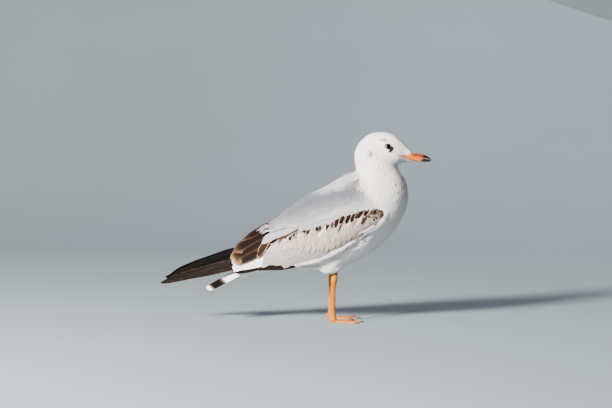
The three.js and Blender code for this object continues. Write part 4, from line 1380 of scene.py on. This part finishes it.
def web_loft():
    """The web between the front toes: a thin closed sheet, hollow between their tips."""
    tips = []
    for length, turn, _ in TOES.values():
        a = math.radians(turn)
        tips.append(np.array([math.cos(a), math.sin(a)]) * length * WEB_REACH)
    outer = []
    for first, second in zip(tips, tips[1:]):
        hollow = (first + second) * WEB_HOLLOW
        for t in np.linspace(0, 1, 24, endpoint=second is tips[-1]):
            outer.append(first * (1 - t) ** 2 + hollow * 2 * t * (1 - t) + second * t * t)
    outer = np.array(outer)
    angle = np.arctan2(outer[:, 1], outer[:, 0])
    rings = []
    for edge, turn in zip(outer, angle):
        shares = np.linspace(0.06, 1, 22)
        toes = np.array([math.radians(t[1]) for t in TOES.values()])
        gap = np.abs(turn - toes).min()
        sag = np.clip(gap / 0.2, 0, 1)
        ripple = 0.12 * np.sin(shares * np.linalg.norm(edge) / 2.4 * 2 * math.pi) * sag
        top = 0.95 - 0.25 * sag + ripple
        upper = [(edge[0] * s + TOE_ROOT_X, edge[1] * s, z) for s, z in zip(shares, top)]
        lower = [(x, y, 0.12) for x, y, _ in upper]
        rings.append(upper + lower[::-1])
    return loft_mesh(np.array(rings))


def taper_loft(radius, tip, middle, turn=0.0, steps=16, around=14):
    """A claw or small toe along a line of [x, z], turned about the foot."""
    rings = []
    for share in np.linspace(0, 1, steps):
        size = radius + (tip - radius) * share ** 0.9
        x, z = middle(share)
        ring = []
        for k in range(around):
            a = k / around * 2 * math.pi
            ring.append((x, size * math.cos(a), z + size * math.sin(a)))
        rings.append(ring)
    return loft_mesh(turned(np.array(rings), turn))


def pad_loft():
    """The heel's pad, a ball cut flat by the floor."""
    rings = []
    turn = turns(28)
    for polar in np.linspace(0.03, math.pi - 0.03, 24):
        z = np.maximum(HEEL_PAD["z"] + HEEL_PAD["high"] * np.cos(polar), 0.02)
        rings.append(np.stack([HEEL_PAD["x"] + HEEL_PAD["long"] * np.sin(polar) * np.cos(turn),
                               HEEL_PAD["wide"] * np.sin(polar) * np.sin(turn),
                               np.full(28, z)], -1))
    return loft_mesh(rings)


SKIN_VOXEL, OFF_FLOOR = 0.36, 0.02


def grown_together(obj):
    """One closed skin over lofts that cross, softened where they met."""
    remesh = obj.modifiers.new("skin", "REMESH")
    remesh.mode, remesh.voxel_size, remesh.use_smooth_shade = "VOXEL", SKIN_VOXEL * MM, True
    soften = obj.modifiers.new("soften", "SMOOTH")
    soften.factor, soften.iterations = 0.5, 5
    whole, spots = made_plain(obj)
    spots[:, 2] = np.maximum(spots[:, 2], OFF_FLOOR * MM)
    whole.vertices.foreach_set("co", spots.ravel())
    return obj


def legs():
    for side, sign in SIDES.items():
        def placed(loft):
            points, faces = loft
            points = points.copy()
            if sign > 0:
                points[:, 1] *= -1
            return points + (LEG_X[side], sign * STANCE, 0), faces

        start, end, radius, tip = HIND_TOE
        hind = taper_loft(radius, tip, lambda t: (start[0] + (end[0] - start[0]) * t,
                                                  start[1] + (end[1] - start[1]) * t))
        lofts = [shank_loft(), pad_loft(), web_loft(), hind]
        lofts += [toe_loft(*toe) for toe in TOES.values()]
        leg = grown_together(solid_object(f"{side}_leg_skin", [placed(loft) for loft in lofts]))
        finish_piece(leg, LEG_SKIN, "leg_skin", f"leg_{side}_shank", f"leg_{side}_foot",
                     f"leg_{side}_hind_toe")
        for toe, (length, turn, _) in TOES.items():
            points, faces = taper_loft(CLAW_RADIUS, CLAW_TIP, lambda t: (
                length - 0.3 + (CLAW_LENGTH + 0.6) * t,
                CLAW_HEIGHT + 0.25 * math.sin(math.pi * t) - CLAW_DROP * t ** 1.6), turn)
            claw = placed((points + (TOE_ROOT_X, 0, 0), faces))
            finish_piece(solid_object(f"{side}_claw_{toe}", [claw]), CLAW_HORN, "claw_horn",
                         f"leg_{side}_claw_{toe}")


# ---------------------------------------------------------------- floor, light and camera
# Places and sizes are in metres here, the pitch in degrees, lens and sensor in millimetres.
FLOOR_WIDTH, FLOOR_FRONT, FLOOR_BACK, FLOOR_BEND, WALL_TOP = 14.0, -7.0, 1.2, 0.9, 3.2
LIT_POINT = (0.02, 0, 0.13)
CAMERA_PLACE, CAMERA_PITCH, LENS, SENSOR = (0.01208, -2.4, 0.276), 86.83, 115.72, 36


def studio():
    """A floor that bends up into a wall, two soft lamps, a dim world and the camera."""
    curve = [(FLOOR_FRONT, 0.0), (FLOOR_BACK, 0.0)]
    curve += [(FLOOR_BACK + FLOOR_BEND * math.sin(a), FLOOR_BEND - FLOOR_BEND * math.cos(a))
              for a in np.linspace(0.05, math.pi / 2, 24)]
    curve += [(FLOOR_BACK + FLOOR_BEND, WALL_TOP)]
    points = [(x, y, z) for y, z in curve for x in (-FLOOR_WIDTH / 2, FLOOR_WIDTH / 2)]
    faces = [(2 * i, 2 * i + 1, 2 * i + 3, 2 * i + 2) for i in range(len(curve) - 1)]
    mesh = bpy.data.meshes.new("floor")
    mesh.from_pydata(points, [], faces)
    mesh.polygons.foreach_set("use_smooth", np.ones(len(faces), bool))
    floor = new_object("floor", mesh)
    material, tree, shader = new_material("painted_studio_floor", 0.85)
    cloud = node(tree, "TexNoise", node(tree, "TexCoord", out="Object"), 3, 3)
    tree.links.new(node(tree, "Mix", cloud, color("#7A868F"), color("#828E97"),
                        data_type="RGBA"), shader.inputs["Base Color"])
    mesh.materials.append(material)

    def lamp(name, place, size, power, tint):
        light = bpy.data.lights.new(name, "AREA")
        light.size, light.energy, light.color = size, power, tint
        obj = new_object(name, light)
        obj.location = place
        turn = (Vector(LIT_POINT) - Vector(place)).to_track_quat("-Z", "Y")
        obj.rotation_euler = turn.to_euler()

    lamp("key", (-1.35, -1.5, 1.05), 0.45, 275, (1, 0.95, 0.86))
    lamp("back", (0.6, 1.9, 0.75), 1.4, 22, (0.9, 0.95, 1))
    world = bpy.data.worlds.new("studio")
    world.use_nodes = True
    sky = world.node_tree.nodes["Background"]
    sky.inputs["Color"].default_value = (0.80, 0.88, 1, 1)
    sky.inputs["Strength"].default_value = 0.09
    bpy.context.scene.world = world

    lens = bpy.data.cameras.new("camera")
    lens.lens, lens.sensor_width, lens.sensor_fit = LENS, SENSOR, "HORIZONTAL"
    lens.clip_start, lens.clip_end = 0.05, 30
    camera = new_object("camera", lens)
    camera.location = CAMERA_PLACE
    camera.rotation_euler = (math.radians(CAMERA_PITCH), 0, 0)
    bpy.context.scene.camera = camera


studio()
build_skin()
body_coat()
flank_plumes()
thigh_coat()
wing_beds()
wing_coverts()
wing_tertials()
wing_primaries()
tail_feathers()
bill_half("upper_bill", UPPER_BILL, "bill_upper")
bill_half("lower_bill", LOWER_BILL, "bill_lower")
for side, sign in SIDES.items():
    gape_line(side, sign)
    eye_and_lid(side, sign)
legs()
